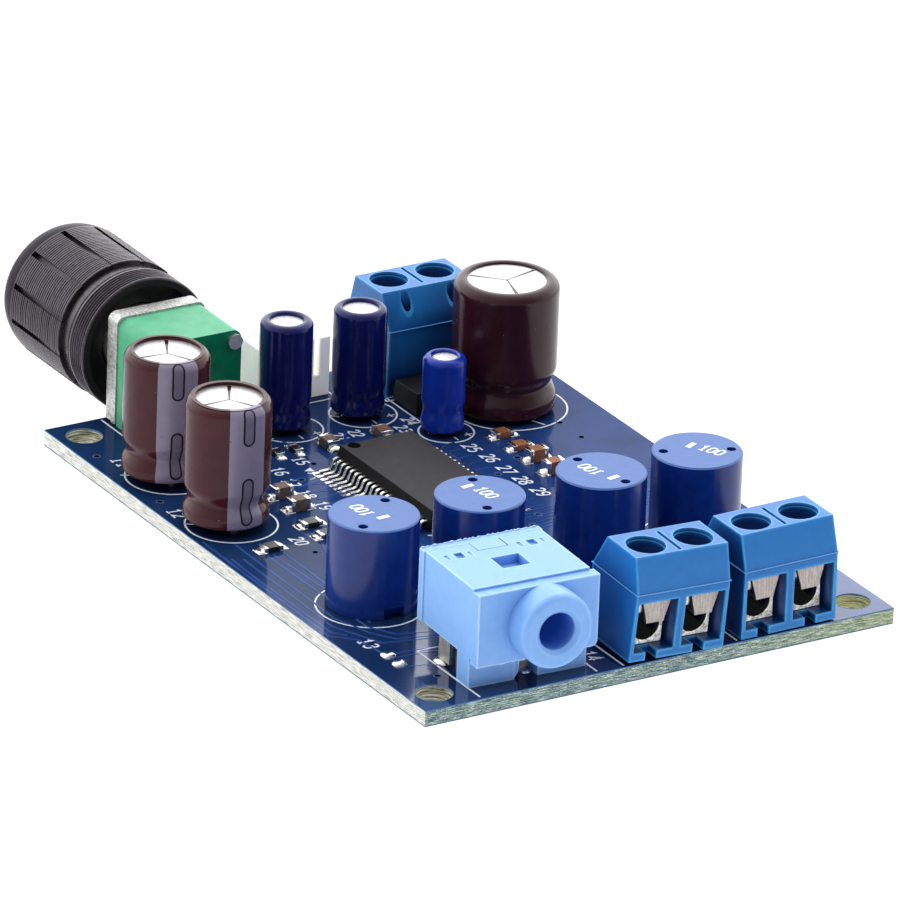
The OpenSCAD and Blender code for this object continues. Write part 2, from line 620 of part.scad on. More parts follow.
module chip_capacitor_bodies() { color("sienna") on_board() for (p = caps_chip) union() chip_core(p); }
module chip_capacitor_end_caps() { color("silver") on_board() for (p = caps_chip) chip_ends(p); }
module chip_resistor_bodies() { color("black") on_board() for (p = res_chip) union() chip_core(p); }
module chip_resistor_end_caps() { color("silver") on_board() for (p = res_chip) chip_ends(p); }

// ---------- Inductors ----------

module inductor(c) translate([c[0], c[1], 0]) difference() {
    union() {
        cylinder(d = coil_d, h = coil_h - 0.15, $fn = 96);
        translate([0, 0, coil_h - 0.15]) cylinder(d1 = coil_d, d2 = coil_d - 0.3, h = 0.15, $fn = 96);
    }
    for (s = [0, 180]) rotate([0, 0, c[2] + s]) translate([3.2, 0, coil_h - 0.9]) cylinder(r = 0.45, h = 2, $fn = 32);
    rotate([0, 0, c[3]]) box([coil_d / 2 - 0.9, -1, -1], [coil_d, 1, 1]);
    for (s = [-1, 1]) translate([s * coil_pitch / 2, 0, -1]) cylinder(r = 0.35, h = 1.6, $fn = 32);
}

module output_inductor_1() { color("royalblue") on_board() inductor(coils[0]); }
module output_inductor_2() { color("royalblue") on_board() inductor(coils[1]); }
module output_inductor_3() { color("royalblue") on_board() inductor(coils[2]); }
module output_inductor_4() { color("royalblue") on_board() inductor(coils[3]); }

module inductor_leads() {
    color("silver") on_board() for (p = coil_leads) translate([p[0], p[1], floor_z]) cylinder(r = p[2], h = 0.6 - floor_z, $fn = 32);
}

// ---------- Electrolytic capacitors ----------

// Half outline of a can or its sleeve: radius, height, shoulder radius, with the crimp groove
module can_outline(r, h, s) difference() {
    union() {
        square([r, h - s]);
        square([r - s, h]);
        translate([r - s, h - s]) circle(r = s, $fn = 48);
    }
    translate([r + 0.5, 2.0]) circle(r = 0.8, $fn = 48);
    translate([-20, -1]) square([20, 40]);
}

module cap_can(c) translate([c[0], c[1], c[6]]) rotate_extrude($fn = 96)
    can_outline(c[2] / 2 - sleeve_t, c[3] - c[5], 0.75);

module cap_sleeve(c) translate([c[0], c[1], c[6]]) rotate_extrude($fn = 96) difference() {
    can_outline(c[2] / 2, c[3], 0.9);
    can_outline(c[2] / 2 - sleeve_t, c[3] - c[5], 0.75);
    square([c[4], 40]);
}

module brown_capacitor_sleeves() { color("saddlebrown") on_board() for (c = brown_caps) cap_sleeve(c); }
module brown_capacitor_cans() { color("gainsboro") on_board() for (c = brown_caps) cap_can(c); }
module main_capacitor_sleeve() { color("maroon") on_board() for (c = main_caps) cap_sleeve(c); }
module main_capacitor_can() { color("gainsboro") on_board() for (c = main_caps) cap_can(c); }
module blue_capacitor_sleeves() { color("navy") on_board() for (c = blue_caps) cap_sleeve(c); }
module blue_capacitor_cans() { color("gainsboro") on_board() for (c = blue_caps) cap_can(c); }
module small_capacitor_sleeve() { color("navy") on_board() for (c = small_caps) cap_sleeve(c); }
module small_capacitor_can() { color("gainsboro") on_board() for (c = small_caps) cap_can(c); }

// Leads from each can's base to under the board
module capacitor_leads() {
    color("silver") on_board() {
        for (c = brown_caps) for (s = [-1, 1]) translate([c[0], c[1] + s * c[7] / 2, floor_z]) cylinder(r = c[8], h = c[6] - floor_z, $fn = 32);
        for (c = concat(main_caps, blue_caps, small_caps)) for (s = [-1, 1])
            translate([c[0] + s * c[7] / 2, c[1], floor_z]) cylinder(r = c[8], h = c[6] - floor_z, $fn = 32);
    }
}

circuit_board();
solder_fillets();
pot_bushing_plate();
pot_housing();
pot_rivets();
pot_track_wafers();
pot_terminals();
pot_shaft();
pot_rotor();
pot_wipers();
knob_shell();
knob_hub();
speaker_terminal_a_housing();
speaker_terminal_b_housing();
power_terminal_housing();
terminal_wire_cages();
speaker_a_left_clamp_leaf();
speaker_a_right_clamp_leaf();
speaker_b_left_clamp_leaf();
speaker_b_right_clamp_leaf();
power_left_clamp_leaf();
power_right_clamp_leaf();
speaker_a_left_screw();
speaker_a_right_screw();
speaker_b_left_screw();
speaker_b_right_screw();
power_left_screw();
power_right_screw();
jack_housing();
jack_rear_cover();
jack_sleeve_contact();
jack_tip_spring();
jack_ring_spring();
jack_switch_contacts();
header_housing();
header_pins();
amplifier_chip_body();
amplifier_chip_leads();
diode_body();
diode_tabs();
chip_capacitor_bodies();
chip_capacitor_end_caps();
chip_resistor_bodies();
chip_resistor_end_caps();
output_inductor_1();
output_inductor_2();
output_inductor_3();
output_inductor_4();
inductor_leads();
brown_capacitor_sleeves();
brown_capacitor_cans();
main_capacitor_sleeve();
main_capacitor_can();
blue_capacitor_sleeves();
blue_capacitor_cans();
small_capacitor_sleeve();
small_capacitor_can();
capacitor_leads();
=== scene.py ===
"""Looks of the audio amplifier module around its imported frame."""

import bpy
import bmesh
import json
import math
import random
import numpy as np
from mathutils import Matrix, Vector

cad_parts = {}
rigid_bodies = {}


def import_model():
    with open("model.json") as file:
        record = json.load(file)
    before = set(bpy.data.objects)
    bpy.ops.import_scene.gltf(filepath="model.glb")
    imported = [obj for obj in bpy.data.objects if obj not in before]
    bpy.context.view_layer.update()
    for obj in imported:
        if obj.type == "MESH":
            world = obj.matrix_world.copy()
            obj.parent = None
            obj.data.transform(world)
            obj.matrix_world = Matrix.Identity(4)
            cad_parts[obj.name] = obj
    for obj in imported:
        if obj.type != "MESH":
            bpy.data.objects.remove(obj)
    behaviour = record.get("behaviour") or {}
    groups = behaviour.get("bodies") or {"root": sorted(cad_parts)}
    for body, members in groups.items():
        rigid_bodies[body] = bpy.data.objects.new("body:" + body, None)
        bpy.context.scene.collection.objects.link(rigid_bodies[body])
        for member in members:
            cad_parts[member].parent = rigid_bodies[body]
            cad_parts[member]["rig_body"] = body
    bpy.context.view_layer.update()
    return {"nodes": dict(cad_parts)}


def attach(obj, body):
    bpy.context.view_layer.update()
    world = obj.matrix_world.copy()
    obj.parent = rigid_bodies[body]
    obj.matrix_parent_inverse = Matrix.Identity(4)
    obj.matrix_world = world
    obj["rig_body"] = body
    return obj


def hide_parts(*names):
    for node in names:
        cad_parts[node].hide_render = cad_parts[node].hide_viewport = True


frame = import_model()
NODES = frame["nodes"]
rng = random.Random(7)


# ------------------------------------------------------------------ helpers
def B(x, y, z=0.0):
    """Board millimetres (front left corner of the top face) to the frame, in metres."""
    return Vector(((x - 25) / 1000, (y - 35) / 1000, (z + 1.6) / 1000))


def lin(r, g, b):
    """sRGB 0-255 to linear."""
    out = []
    for v in (r, g, b):
        v = v / 255
        out.append(v / 12.92 if v <= 0.04045 else ((v + 0.055) / 1.055) ** 2.4)
    return tuple(out) + (1.0,)


# ------------------------------------------------------------------ camera
R0 = Vector((0.8572729, -0.5136593, 0.0351745))
R1 = Vector((-0.1789948, -0.3613961, -0.9150703))
R2 = Vector((0.4827463, 0.778169, -0.4017575))
fwd = (R2 - 8.77e-5 * R0 + 1.4e-5 * R1).normalized()
right = (R0 - fwd * R0.dot(fwd)).normalized()
up = right.cross(fwd).normalized()
cam_data = bpy.data.cameras.new("camera")
cam = bpy.data.objects.new("camera", cam_data)
bpy.context.scene.collection.objects.link(cam)
m = Matrix((right, up, -fwd)).transposed().to_4x4()
m.translation = Vector((-0.54178652, -0.87069653, 0.45831579))
cam.matrix_world = m
cam_data.sensor_width = 36
cam_data.sensor_fit = "HORIZONTAL"
cam_data.lens = 483.744
cam_data.clip_start = 0.01
cam_data.clip_end = 20
cam_data.dof.use_dof = False
bpy.context.scene.camera = cam


# ------------------------------------------------------------------ materials
class Mat:
    """A node material. self.mm is the position in board millimetres."""

    def __init__(self, name):
        self.m = bpy.data.materials.new(name)
        self.m.use_nodes = True
        self.t = self.m.node_tree
        self.t.nodes.clear()
        out = self.t.nodes.new("ShaderNodeOutputMaterial")
        self.b = self.t.nodes.new("ShaderNodeBsdfPrincipled")
        self.t.links.new(self.b.outputs[0], out.inputs[0])
        tc = self.t.nodes.new("ShaderNodeTexCoord")
        vm = self.t.nodes.new("ShaderNodeVectorMath")
        vm.operation = "MULTIPLY_ADD"
        self.t.links.new(tc.outputs["Object"], vm.inputs[0])
        vm.inputs[1].default_value = (1000, 1000, 1000)
        vm.inputs[2].default_value = (25, 35, -1.6)
        self.mm = vm.outputs[0]
        self.normal = None

    def put(self, sock, v):
        if isinstance(v, bpy.types.NodeSocket):
            self.t.links.new(v, sock)
        elif v is not None:
            if sock.type == "RGBA" and len(v) == 3:
                v = tuple(v) + (1.0,)
            sock.default_value = v

    def noise(self, scale, detail=3.0, rough=0.55, vec=None, stretch=None, dist=0.0, seed=0.0):
        v = vec or self.mm
        if stretch or seed:
            mp = self.t.nodes.new("ShaderNodeMapping")
            self.t.links.new(v, mp.inputs["Vector"])
            mp.inputs["Scale"].default_value = stretch or (1, 1, 1)
            mp.inputs["Location"].default_value = (seed, seed * 0.7, seed * 1.3)
            v = mp.outputs[0]
        n = self.t.nodes.new("ShaderNodeTexNoise")
        self.t.links.new(v, n.inputs["Vector"])
        n.inputs["Scale"].default_value = scale
        n.inputs["Detail"].default_value = detail
        n.inputs["Roughness"].default_value = rough
        n.inputs["Distortion"].default_value = dist
        return n.outputs["Fac"]

    def voronoi(self, scale, vec=None, feature="F1", rnd=1.0):
        n = self.t.nodes.new("ShaderNodeTexVoronoi")
        n.feature = feature
        self.t.links.new(vec or self.mm, n.inputs["Vector"])
        n.inputs["Scale"].default_value = scale
        n.inputs["Randomness"].default_value = rnd
        return n.outputs["Distance"]

    def ramp(self, fac, stops, interp="LINEAR"):
        n = self.t.nodes.new("ShaderNodeValToRGB")
        self.t.links.new(fac, n.inputs[0])
        e = n.color_ramp.elements
        n.color_ramp.interpolation = interp
        while len(e) < len(stops):
            e.new(0.5)
        for i, (p, c) in enumerate(stops):
            e[i].position = p
            c = (c, c, c, 1.0) if isinstance(c, (int, float)) else c
            e[i].color = tuple(c) + (1.0,) if len(c) == 3 else c
        return n.outputs[0]

    def mix(self, fac, a, b, blend="MIX"):
        n = self.t.nodes.new("ShaderNodeMix")
        n.data_type = "RGBA"
        n.blend_type = blend
        self.put(n.inputs[0], fac)
        self.put(n.inputs[6], a)
        self.put(n.inputs[7], b)
        return n.outputs[2]

    def math(self, op, a, b=None, c=None, clamp=False):
        n = self.t.nodes.new("ShaderNodeMath")
        n.operation = op
        n.use_clamp = clamp
        self.put(n.inputs[0], a)
        if b is not None:
            self.put(n.inputs[1], b)
        if c is not None:
            self.put(n.inputs[2], c)
        return n.outputs[0]

    def sep(self, v=None):
        n = self.t.nodes.new("ShaderNodeSeparateXYZ")
        self.t.links.new(v or self.mm, n.inputs[0])
        return n.outputs

    def geo_normal(self):
        n = self.t.nodes.new("ShaderNodeNewGeometry")
        return n.outputs["Normal"]

    def ao(self, dist_mm, lo=0.0, hi=1.0):
        """How open the surface is to its surroundings, spread between lo and hi."""
        n = self.t.nodes.new("ShaderNodeAmbientOcclusion")
        n.samples = 6
        n.inputs["Distance"].default_value = dist_mm / 1000
        return self.ramp(n.outputs["AO"], [(lo, 0.0), (hi, 1.0)])

    def edge(self, dist_mm, lo=0.62, hi=0.97):
        """One on sharp outer edges, falling to zero on flat faces."""
        n = self.t.nodes.new("ShaderNodeAmbientOcclusion")
        n.samples = 6
        n.inside = True
        n.only_local = True
        n.inputs["Distance"].default_value = dist_mm / 1000
        return self.ramp(n.outputs["AO"], [(lo, 1.0), (hi, 0.0)])

    def bump(self, height, dist_mm, strength=1.0):
        n = self.t.nodes.new("ShaderNodeBump")
        n.inputs["Strength"].default_value = strength
        n.inputs["Distance"].default_value = dist_mm / 1000
        self.t.links.new(height, n.inputs["Height"])
        if self.normal is not None:
            self.t.links.new(self.normal, n.inputs["Normal"])
        self.normal = n.outputs[0]
        self.put(self.b.inputs["Normal"], self.normal)

    def set(self, **kw):
        for k, v in kw.items():
            self.put(self.b.inputs[k.replace("_", " ")], v)
        return self


def rough_of(M, base, var, scale=1.2):
    n = M.noise(scale, 4, 0.6, seed=3.1)
    return M.math("MULTIPLY_ADD", n, 2 * var, base - var)


def plastic(name, rgb, rough=0.4, var=0.10, scale=0.9, grain=0.004, grain_scale=14, sss=0.0,
            coat=0.0, spec=0.5, scratches=0.0, painted_shade=None, ao=2.5, ao_lo=0.1, ao_hi=0.8, edge_highlight=None, edge_highlight_mm=0.25):
    M = Mat(name)
    a = tuple(v * (1 - var) for v in rgb[:3])
    b = tuple(min(1, v * (1 + var)) for v in rgb[:3])
    col = M.ramp(M.noise(scale, 4, 0.6), [(0.3, a), (0.7, b)])
    # painted shade: a darker colour in hollows and beside other parts, by ambient occlusion
    if painted_shade:
        col = M.mix(M.ao(ao, ao_lo, ao_hi), painted_shade, col)
    # painted highlight: a lighter colour in patches along sharp outer edges
    if edge_highlight:
        col = M.mix(M.math("MULTIPLY", M.edge(edge_highlight_mm), M.ramp(M.noise(0.8, 3, 0.6, seed=8.0), [(0.3, 0.45), (0.6, 0.9)])), col, edge_highlight)
    M.set(Base_Color=col, Roughness=rough_of(M, rough, 0.06))
    M.b.inputs["Specular IOR Level"].default_value = spec
    M.b.inputs["IOR"].default_value = 1.5
    if sss:
        M.b.inputs["Subsurface Weight"].default_value = sss
        M.b.inputs["Subsurface Radius"].default_value = (0.0006, 0.0008, 0.0012)
        M.b.inputs["Subsurface Scale"].default_value = 1.0
    if coat:
        M.b.inputs["Coat Weight"].default_value = coat
        M.b.inputs["Coat Roughness"].default_value = 0.08
    if grain:
        M.bump(M.noise(grain_scale, 3, 0.6), grain)
    if scratches:
        s = M.noise(3.5, 2, 0.7, stretch=(1, 9, 9), seed=5)
        M.bump(M.ramp(s, [(0.62, 0), (0.66, 1)]), scratches)
    return M


def metal(name, rgb, rough=0.3, var=0.12, brush=None, scale=2.0, grain=0.006, grain_scale=9):
    M = Mat(name)
    a = tuple(v * (1 - var) for v in rgb[:3])
    b = tuple(min(1, v * (1 + var)) for v in rgb[:3])
    M.set(Base_Color=M.ramp(M.noise(scale, 4, 0.6), [(0.3, a), (0.7, b)]), Roughness=rough_of(M, rough, 0.08, 3))
    M.b.inputs["Metallic"].default_value = 1.0
    if brush:
        M.bump(M.noise(6, 3, 0.6, stretch=brush), 0.012)
    if grain:
        M.bump(M.noise(grain_scale, 3, 0.6), grain)
    return M


def board_material(name="board_mask", gain=1.0):
    M = Mat(name)
    x, y, z = M.sep()
    nx, ny, nz = M.sep(M.geo_normal())
    flat = M.math("GREATER_THAN", M.math("ABSOLUTE", nz), 0.5)
    side = M.math("SUBTRACT", 1.0, flat)
    # mask over copper and over bare laminate
    blotch = M.noise(0.22, 3, 0.5, seed=2.0)
    mask = M.ramp(blotch, [(0.35, (0.010 * gain, 0.034 * gain, 0.135 * gain)), (0.6, (0.015 * gain, 0.047 * gain, 0.18 * gain))])
    speck = M.voronoi(0.9)
    mask = M.mix(M.ramp(speck, [(0.036, 1.0), (0.06, 0.0)]), mask, lin(84, 108, 156))
    if gain == 1.0:
        # painted shade: the mask darker towards the left end of the board, and darker still beside parts by ambient
        # occlusion
        mask = M.mix(M.ramp(M.math("DIVIDE", x, 50), [(0.15, 0.75), (0.42, 0.0)]), mask, (0.0075, 0.030, 0.088, 1))
        mask = M.mix(M.ao(4.0, 0.18, 0.80), (0.0025, 0.008, 0.030, 1), mask)
    # side faces: layers of glass cloth
    rows = M.noise(1.0, 3, 0.6, stretch=(0.7, 0.7, 10), dist=0.12)
    fine = M.noise(1.0, 2, 0.6, stretch=(5.5, 5.5, 20), seed=4.0)
    mixr = M.math("ADD", M.math("MULTIPLY", rows, 0.6), M.math("MULTIPLY", fine, 0.4))
    edge_front = M.ramp(mixr, [(0.39, lin(34, 60, 70)), (0.46, lin(82, 110, 112)), (0.53, lin(142, 166, 162)), (0.61, lin(222, 232, 224))])
    edge_left = M.ramp(mixr, [(0.39, lin(142, 144, 134)), (0.46, lin(186, 188, 180)), (0.53, lin(216, 218, 210)), (0.60, lin(244, 246, 240))])
    is_left = M.math("LESS_THAN", nx, -0.7)
    warm = M.ramp(M.math("DIVIDE", x, 50), [(0.60, 0.0), (1.0, 0.6)])
    edge_warm = M.ramp(mixr, [(0.36, lin(96, 112, 72)), (0.46, lin(146, 160, 106)), (0.54, lin(190, 202, 150)), (0.66, lin(226, 234, 190))])
    edge = M.mix(is_left, M.mix(warm, edge_front, edge_warm), edge_left)
    # hole walls
    inside = M.math("MULTIPLY", M.math("LESS_THAN", M.math("ABSOLUTE", M.math("SUBTRACT", x, 25.0)), 24.8),
                    M.math("LESS_THAN", M.math("ABSOLUTE", M.math("SUBTRACT", y, 35.0)), 34.8))
    rings = M.noise(1.0, 3, 0.7, stretch=(0.5, 0.5, 13), seed=9.0)
    wall = M.ramp(rings, [(0.40, lin(50, 46, 38)), (0.47, lin(108, 104, 84)), (0.53, lin(170, 168, 138)), (0.60, lin(232, 232, 212))])
    wall = M.mix(M.ramp(M.math("DIVIDE", x, 50), [(0.4, 0.0), (0.9, 1.0)]), wall, M.ramp(rings, [(0.40, lin(96, 84, 60)), (0.50, lin(150, 148, 96)), (0.60, lin(226, 226, 170))]))
    edge = M.mix(inside, edge, wall)
    # the mask's own thin edge at the top and bottom of the side faces
    rim_t = M.ramp(M.math("ADD", z, 1.0), [(0.87, 0.0), (0.91, 1.0)])
    rim_b = M.ramp(M.math("MULTIPLY", z, -0.5), [(0.738, 0.0), (0.752, 1.0)])
    edge = M.mix(rim_t, edge, lin(52, 106, 166))
    edge = M.mix(rim_b, edge, lin(46, 88, 132))
    M.set(Base_Color=M.mix(flat, edge, mask))
    shine = M.ramp(M.math("DIVIDE", y, 70), [(0.0, 1.0), (0.18, 1.0), (0.32, 0.30), (1.0, 0.20)])
    shine = M.math("MULTIPLY", flat, shine)
    M.set(Metallic=M.math("MULTIPLY", shine, 0.40))
    M.set(Roughness=M.math("MULTIPLY_ADD", side, 0.35, 0.22))
    M.set(Coat_Weight=shine, Coat_Roughness=M.math("MULTIPLY_ADD", M.noise(0.5, 3, 0.5, seed=1.0), 0.06, 0.03))
    M.b.inputs["IOR"].default_value = 1.45
    M.set(Specular_IOR_Level=M.math("MULTIPLY", side, 0.5))
    M.b.inputs["Coat IOR"].default_value = 1.40
    M.bump(M.noise(0.35, 2, 0.5, seed=6.0), 0.010)
    M.bump(M.noise(2.6, 3, 0.6), 0.0016)
    M.bump(M.math("MULTIPLY", mixr, side), 0.06)
    M.put(M.b.inputs["Coat Normal"], M.normal)
    return M


MATS = {}
MATS["board"] = board_material()
MATS["silk"] = plastic("silk", lin(225, 230, 240), 0.5, var=0.05, grain=0.004, grain_scale=9)
MATS["trace"] = board_material("trace_mask", 1.5)
# near-black discs in the vias stand for the shade down the holes: painted shade
MATS["via"] = plastic("via_hole_shade", (0.002, 0.002, 0.004, 1), 0.9, spec=0.0)
MATS["via_ring"] = plastic("via_ring", lin(60, 88, 132), 0.6, var=0.2, scale=3, spec=0.2)
MATS["solder"] = metal("solder", (0.80, 0.79, 0.77), 0.20, grain=0.02, grain_scale=2.5)
MATS["tinned"] = metal("tinned", (0.78, 0.76, 0.73), 0.26, grain=0.008)
MATS["contact"] = metal("contact", (0.42, 0.40, 0.36), 0.42, var=0.3, grain=0.02, grain_scale=4)
MATS["lead"] = metal("lead", (0.78, 0.77, 0.75), 0.24, grain=0.008)
# painted shade: contacts and chip leads darkened in crevices and beside other parts
for k_ in ("contact", "lead"):
    M_ = MATS[k_]
    M_.set(Base_Color=M_.mix(M_.ao(0.7, 0.30, 0.85), (0.02, 0.019, 0.018, 1), M_.b.inputs["Base Color"].links[0].from_socket))
MATS["die_cast"] = None
MATS["can"] = None
# painted shade in the terminals' hollows and a painted highlight along their edges
MATS["terminal"] = plastic("terminal_blue", lin(29, 111, 184), 0.33, var=0.05, grain=0.006, grain_scale=10, spec=0.3,
                           painted_shade=lin(4, 38, 100), ao=5.0, ao_lo=0.30, ao_hi=0.84, edge_highlight=lin(66, 158, 220), edge_highlight_mm=0.3)
# the moulding flash is real; its paler blue is painted highlight
MATS["flash"] = plastic("moulding_flash_highlight", lin(92, 158, 220), 0.4, var=0.05)
# painted shade in the socket's hollows and a painted highlight along its edges
MATS["jack"] = plastic("jack_blue", lin(124, 174, 236), 0.42, var=0.05, grain=0.006, grain_scale=8, sss=0.15,
                       painted_shade=lin(44, 106, 190), ao=2.0, ao_lo=0.16, ao_hi=0.60, edge_highlight=lin(176, 214, 250), edge_highlight_mm=0.2)
MATS["jack_line"] = plastic("jack_shadow_line", lin(72, 128, 198), 0.5, var=0.08)
# recess floors in a blue a little darker than the socket, the deeper floors darker still: painted shade
MATS["jack_floor"] = plastic("jack_recess", lin(112, 166, 228), 0.45, var=0.1, scale=2)
MATS["jack_floor_deep_shade"] = plastic("jack_recess_deep_shade", lin(66, 124, 196), 0.45, var=0.15, scale=2)
# pale fins along the socket's edges: painted highlight
MATS["jack_edge_highlight_fin"] = plastic("jack_edge_highlight_fin", lin(196, 226, 252), 0.4, var=0.04, sss=0.2)
MATS["rim"] = plastic("hole_rim", lin(92, 118, 122), 0.4, var=0.15, scale=3)


def shade_bore(M):
    """Painted shade down the socket's bore: the blue deepens with depth, with a faint blue glow there as painted
    light.
    """
    x, y, z = M.sep()
    c_, s_ = math.cos(math.radians(2.7)), math.sin(math.radians(2.7))
    dx, dy = M.math("SUBTRACT", x, 5.88), M.math("SUBTRACT", y, 2.13)
    lx = M.math("SUBTRACT", M.math("SUBTRACT", M.math("MULTIPLY", dx, c_), M.math("MULTIPLY", dy, s_)), 6.7)
    ly = M.math("ADD", M.math("MULTIPLY", dx, s_), M.math("MULTIPLY", dy, c_))
    lz = M.math("SUBTRACT", z, 6.1)
    rr_ = M.math("ADD", M.math("MULTIPLY", lx, lx), M.math("MULTIPLY", lz, lz))
    inside = M.math("LESS_THAN", rr_, 3.5)
    depth = M.ramp(M.math("MULTIPLY", M.math("ADD", ly, 4.1), 0.2), [(0.0, 0.0), (0.16, 0.6), (0.6, 1.0)])
    old = M.b.inputs["Base Color"].links[0].from_socket
    painted_shade = M.math("MULTIPLY", inside, depth)
    M.set(Base_Color=M.mix(painted_shade, old, lin(20, 74, 172)), Emission_Strength=M.math("MULTIPLY", painted_shade, 0.3))
    M.b.inputs["Emission Color"].default_value = (0.007, 0.042, 0.24, 1)
    return M


shade_bore(MATS["jack"])
MATS["cream"] = plastic("cream", lin(246, 245, 240), 0.45, var=0.03, sss=0.4)
# painted light: the cream header glows faintly
MATS["cream"].b.inputs["Emission Color"].default_value = (1.0, 0.97, 0.90, 1)
MATS["cream"].b.inputs["Emission Strength"].default_value = 0.20
MATS["nickel"] = None
MATS["cage"] = None
MATS["screw"] = metal("screw", (0.66, 0.66, 0.66), 0.3)
MATS["wafer"] = plastic("wafer", (0.25, 0.13, 0.06), 0.6)
MATS["rotor"] = plastic("rotor", (0.05, 0.05, 0.05), 0.5)
MATS["wiper"] = metal("wiper", (0.75, 0.55, 0.25), 0.3)
MATS["shaft"] = metal("shaft", (0.68, 0.68, 0.69), 0.3)
MATS["rivet"] = metal("rivet", (0.74, 0.74, 0.74), 0.42, grain=0.02, grain_scale=5)
MATS["chip"] = plastic("chip_black", lin(29, 26, 31), 0.6, var=0.10, grain=0.012, grain_scale=9, spec=0.3, edge_highlight=lin(96, 90, 94), edge_highlight_mm=0.10)
# painted highlight along the chip's edges, and painted shade: its side faces near black against its top
M_ = MATS["chip"]
M_.set(Base_Color=M_.mix(M_.ramp(M_.sep(M_.geo_normal())[2], [(0.3, 0.0), (0.6, 1.0)]), (0.006, 0.0055, 0.006, 1),
                         M_.b.inputs["Base Color"].links[0].from_socket))
MATS["diode"] = plastic("diode_black", lin(15, 15, 18), 0.45, grain=0.008, spec=0.3)
MATS["ceramic"] = plastic("ceramic_brown", lin(110, 74, 54), 0.5, grain=0.008)
M_ = MATS["ceramic"]
M_.set(Base_Color=M_.mix(M_.ramp(M_.math("DIVIDE", M_.sep()[0], 50), [(0.5, 0.0), (0.7, 1.0)]),
                         M_.ramp(M_.noise(1.2, 3, 0.6), [(0.35, lin(84, 68, 60)), (0.65, lin(112, 90, 76))]),
                         M_.ramp(M_.noise(1.2, 3, 0.6), [(0.35, lin(122, 70, 40)), (0.65, lin(150, 92, 54))])))
MATS["resistor"] = plastic("resistor_black", lin(26, 26, 28), 0.3, grain=0.004)
MATS["hub"] = plastic("knob_insert", lin(18, 20, 22), 0.25, grain=0.003)


def die_cast():
    M = Mat("die_cast")
    pits = M.noise(1.0, 5, 0.7, dist=0.3, stretch=(4.5, 2.2, 4.5))
    fine = M.noise(9, 3, 0.6, seed=2)
    col = M.ramp(pits, [(0.33, (0.16, 0.16, 0.15)), (0.42, (0.42, 0.42, 0.40)), (0.54, (0.62, 0.62, 0.60)), (0.7, (0.80, 0.80, 0.79))])
    M.set(Base_Color=col, Roughness=M.math("MULTIPLY_ADD", fine, 0.3, 0.3))
    M.b.inputs["Metallic"].default_value = 0.75
    M.bump(pits, 0.09)
    M.bump(fine, 0.02)
    return M


def nickel(name, lo_, hi_, rough, spark, drawn):
    """Pressed strip with drawing lines along its height."""
    M = Mat(name)
    lines = M.noise(1.0, 3, 0.65, stretch=(7, 7, 0.5))
    n = M.noise(3.0, 4, 0.65, seed=2.0)
    k = M.math("ADD", M.math("MULTIPLY", lines, drawn), M.math("MULTIPLY", n, 1 - drawn))
    # painted shade: darker in crevices and beside other parts, by ambient occlusion
    M.set(Base_Color=M.mix(M.ao(1.5, 0.15, 0.7), (0.03, 0.028, 0.026, 1), M.ramp(k, [(0.36, lo_), (0.62, hi_)])), Roughness=M.math("MULTIPLY_ADD", n, 0.2, rough - 0.1))
    if spark:
        # painted light and shade: the front plate of each cage, less so by its left post, glows with its own colour;
        # the rest is painted near black
        nx, ny, nz = M.sep(M.geo_normal())
        x, y, z = M.sep()
        face = M.ramp(M.math("ABSOLUTE", ny), [(0.5, 0.0), (0.8, 1.0)])
        face = M.math("MULTIPLY", face, M.math("GREATER_THAN", M.math("ABSOLUTE", M.math("SUBTRACT", y, 35.0)), 32.4))
        second = M.math("GREATER_THAN", x, 31.8)
        u = M.math("SUBTRACT", M.math("SUBTRACT", x, 23.78), M.math("MULTIPLY", second, 12.31))
        u = M.math("WRAP", u, 2.54, -2.54)
        post = M.math("MAXIMUM", M.ramp(M.math("ADD", u, 1.5), [(0.0, 0.0), (0.7, 1.0)]), M.math("GREATER_THAN", y, 35.0))
        lit = M.math("MULTIPLY", face, post)
        col = M.mix(lit, (0.012, 0.012, 0.012, 1), M.ramp(k, [(0.36, (0.24, 0.24, 0.22, 1)), (0.50, (0.60, 0.60, 0.56, 1)), (0.62, (0.92, 0.92, 0.88, 1))]))
        M.set(Base_Color=col, Emission_Color=col)
        M.b.inputs["Emission Strength"].default_value = 0.5
    M.b.inputs["Metallic"].default_value = 0.9
    M.bump(lines, 0.02 * drawn)
    if spark:
        M.bump(M.noise(7, 3, 0.7, seed=7.0), spark)
    return M


def can_top():
    M = Mat("can_top")
    n = M.noise(5, 3, 0.6)
    M.set(Base_Color=M.ramp(n, [(0.35, (0.58, 0.58, 0.59)), (0.65, (0.74, 0.74, 0.75))]), Roughness=M.math("MULTIPLY_ADD", n, 0.2, 0.38))
    M.b.inputs["Metallic"].default_value = 0.55
    M.bump(M.noise(12, 2, 0.5), 0.006)
    return M


def green():
    M = Mat("green_plastic")
    nx, ny, nz = M.sep(M.geo_normal())
    n = M.noise(0.8, 4, 0.6)
    top = M.ramp(n, [(0.3, lin(58, 156, 114)), (0.7, lin(70, 172, 128))])
    rear = M.ramp(n, [(0.3, lin(0, 116, 80)), (0.7, lin(0, 132, 92))])
    f = M.ramp(M.math("MULTIPLY", ny, -1.0), [(0.2, 0.0), (0.8, 1.0)])
    M.set(Base_Color=M.mix(f, top, rear), Roughness=M.mix(f, (0.5,) * 3 + (1,), (0.18,) * 3 + (1,)))
    M.bump(M.noise(7, 3, 0.6), 0.006)
    s = M.noise(2.2, 2, 0.7, stretch=(1, 1, 7), seed=5)
    M.bump(M.ramp(s, [(0.64, 0), (0.67, 1)]), 0.01)
    return M


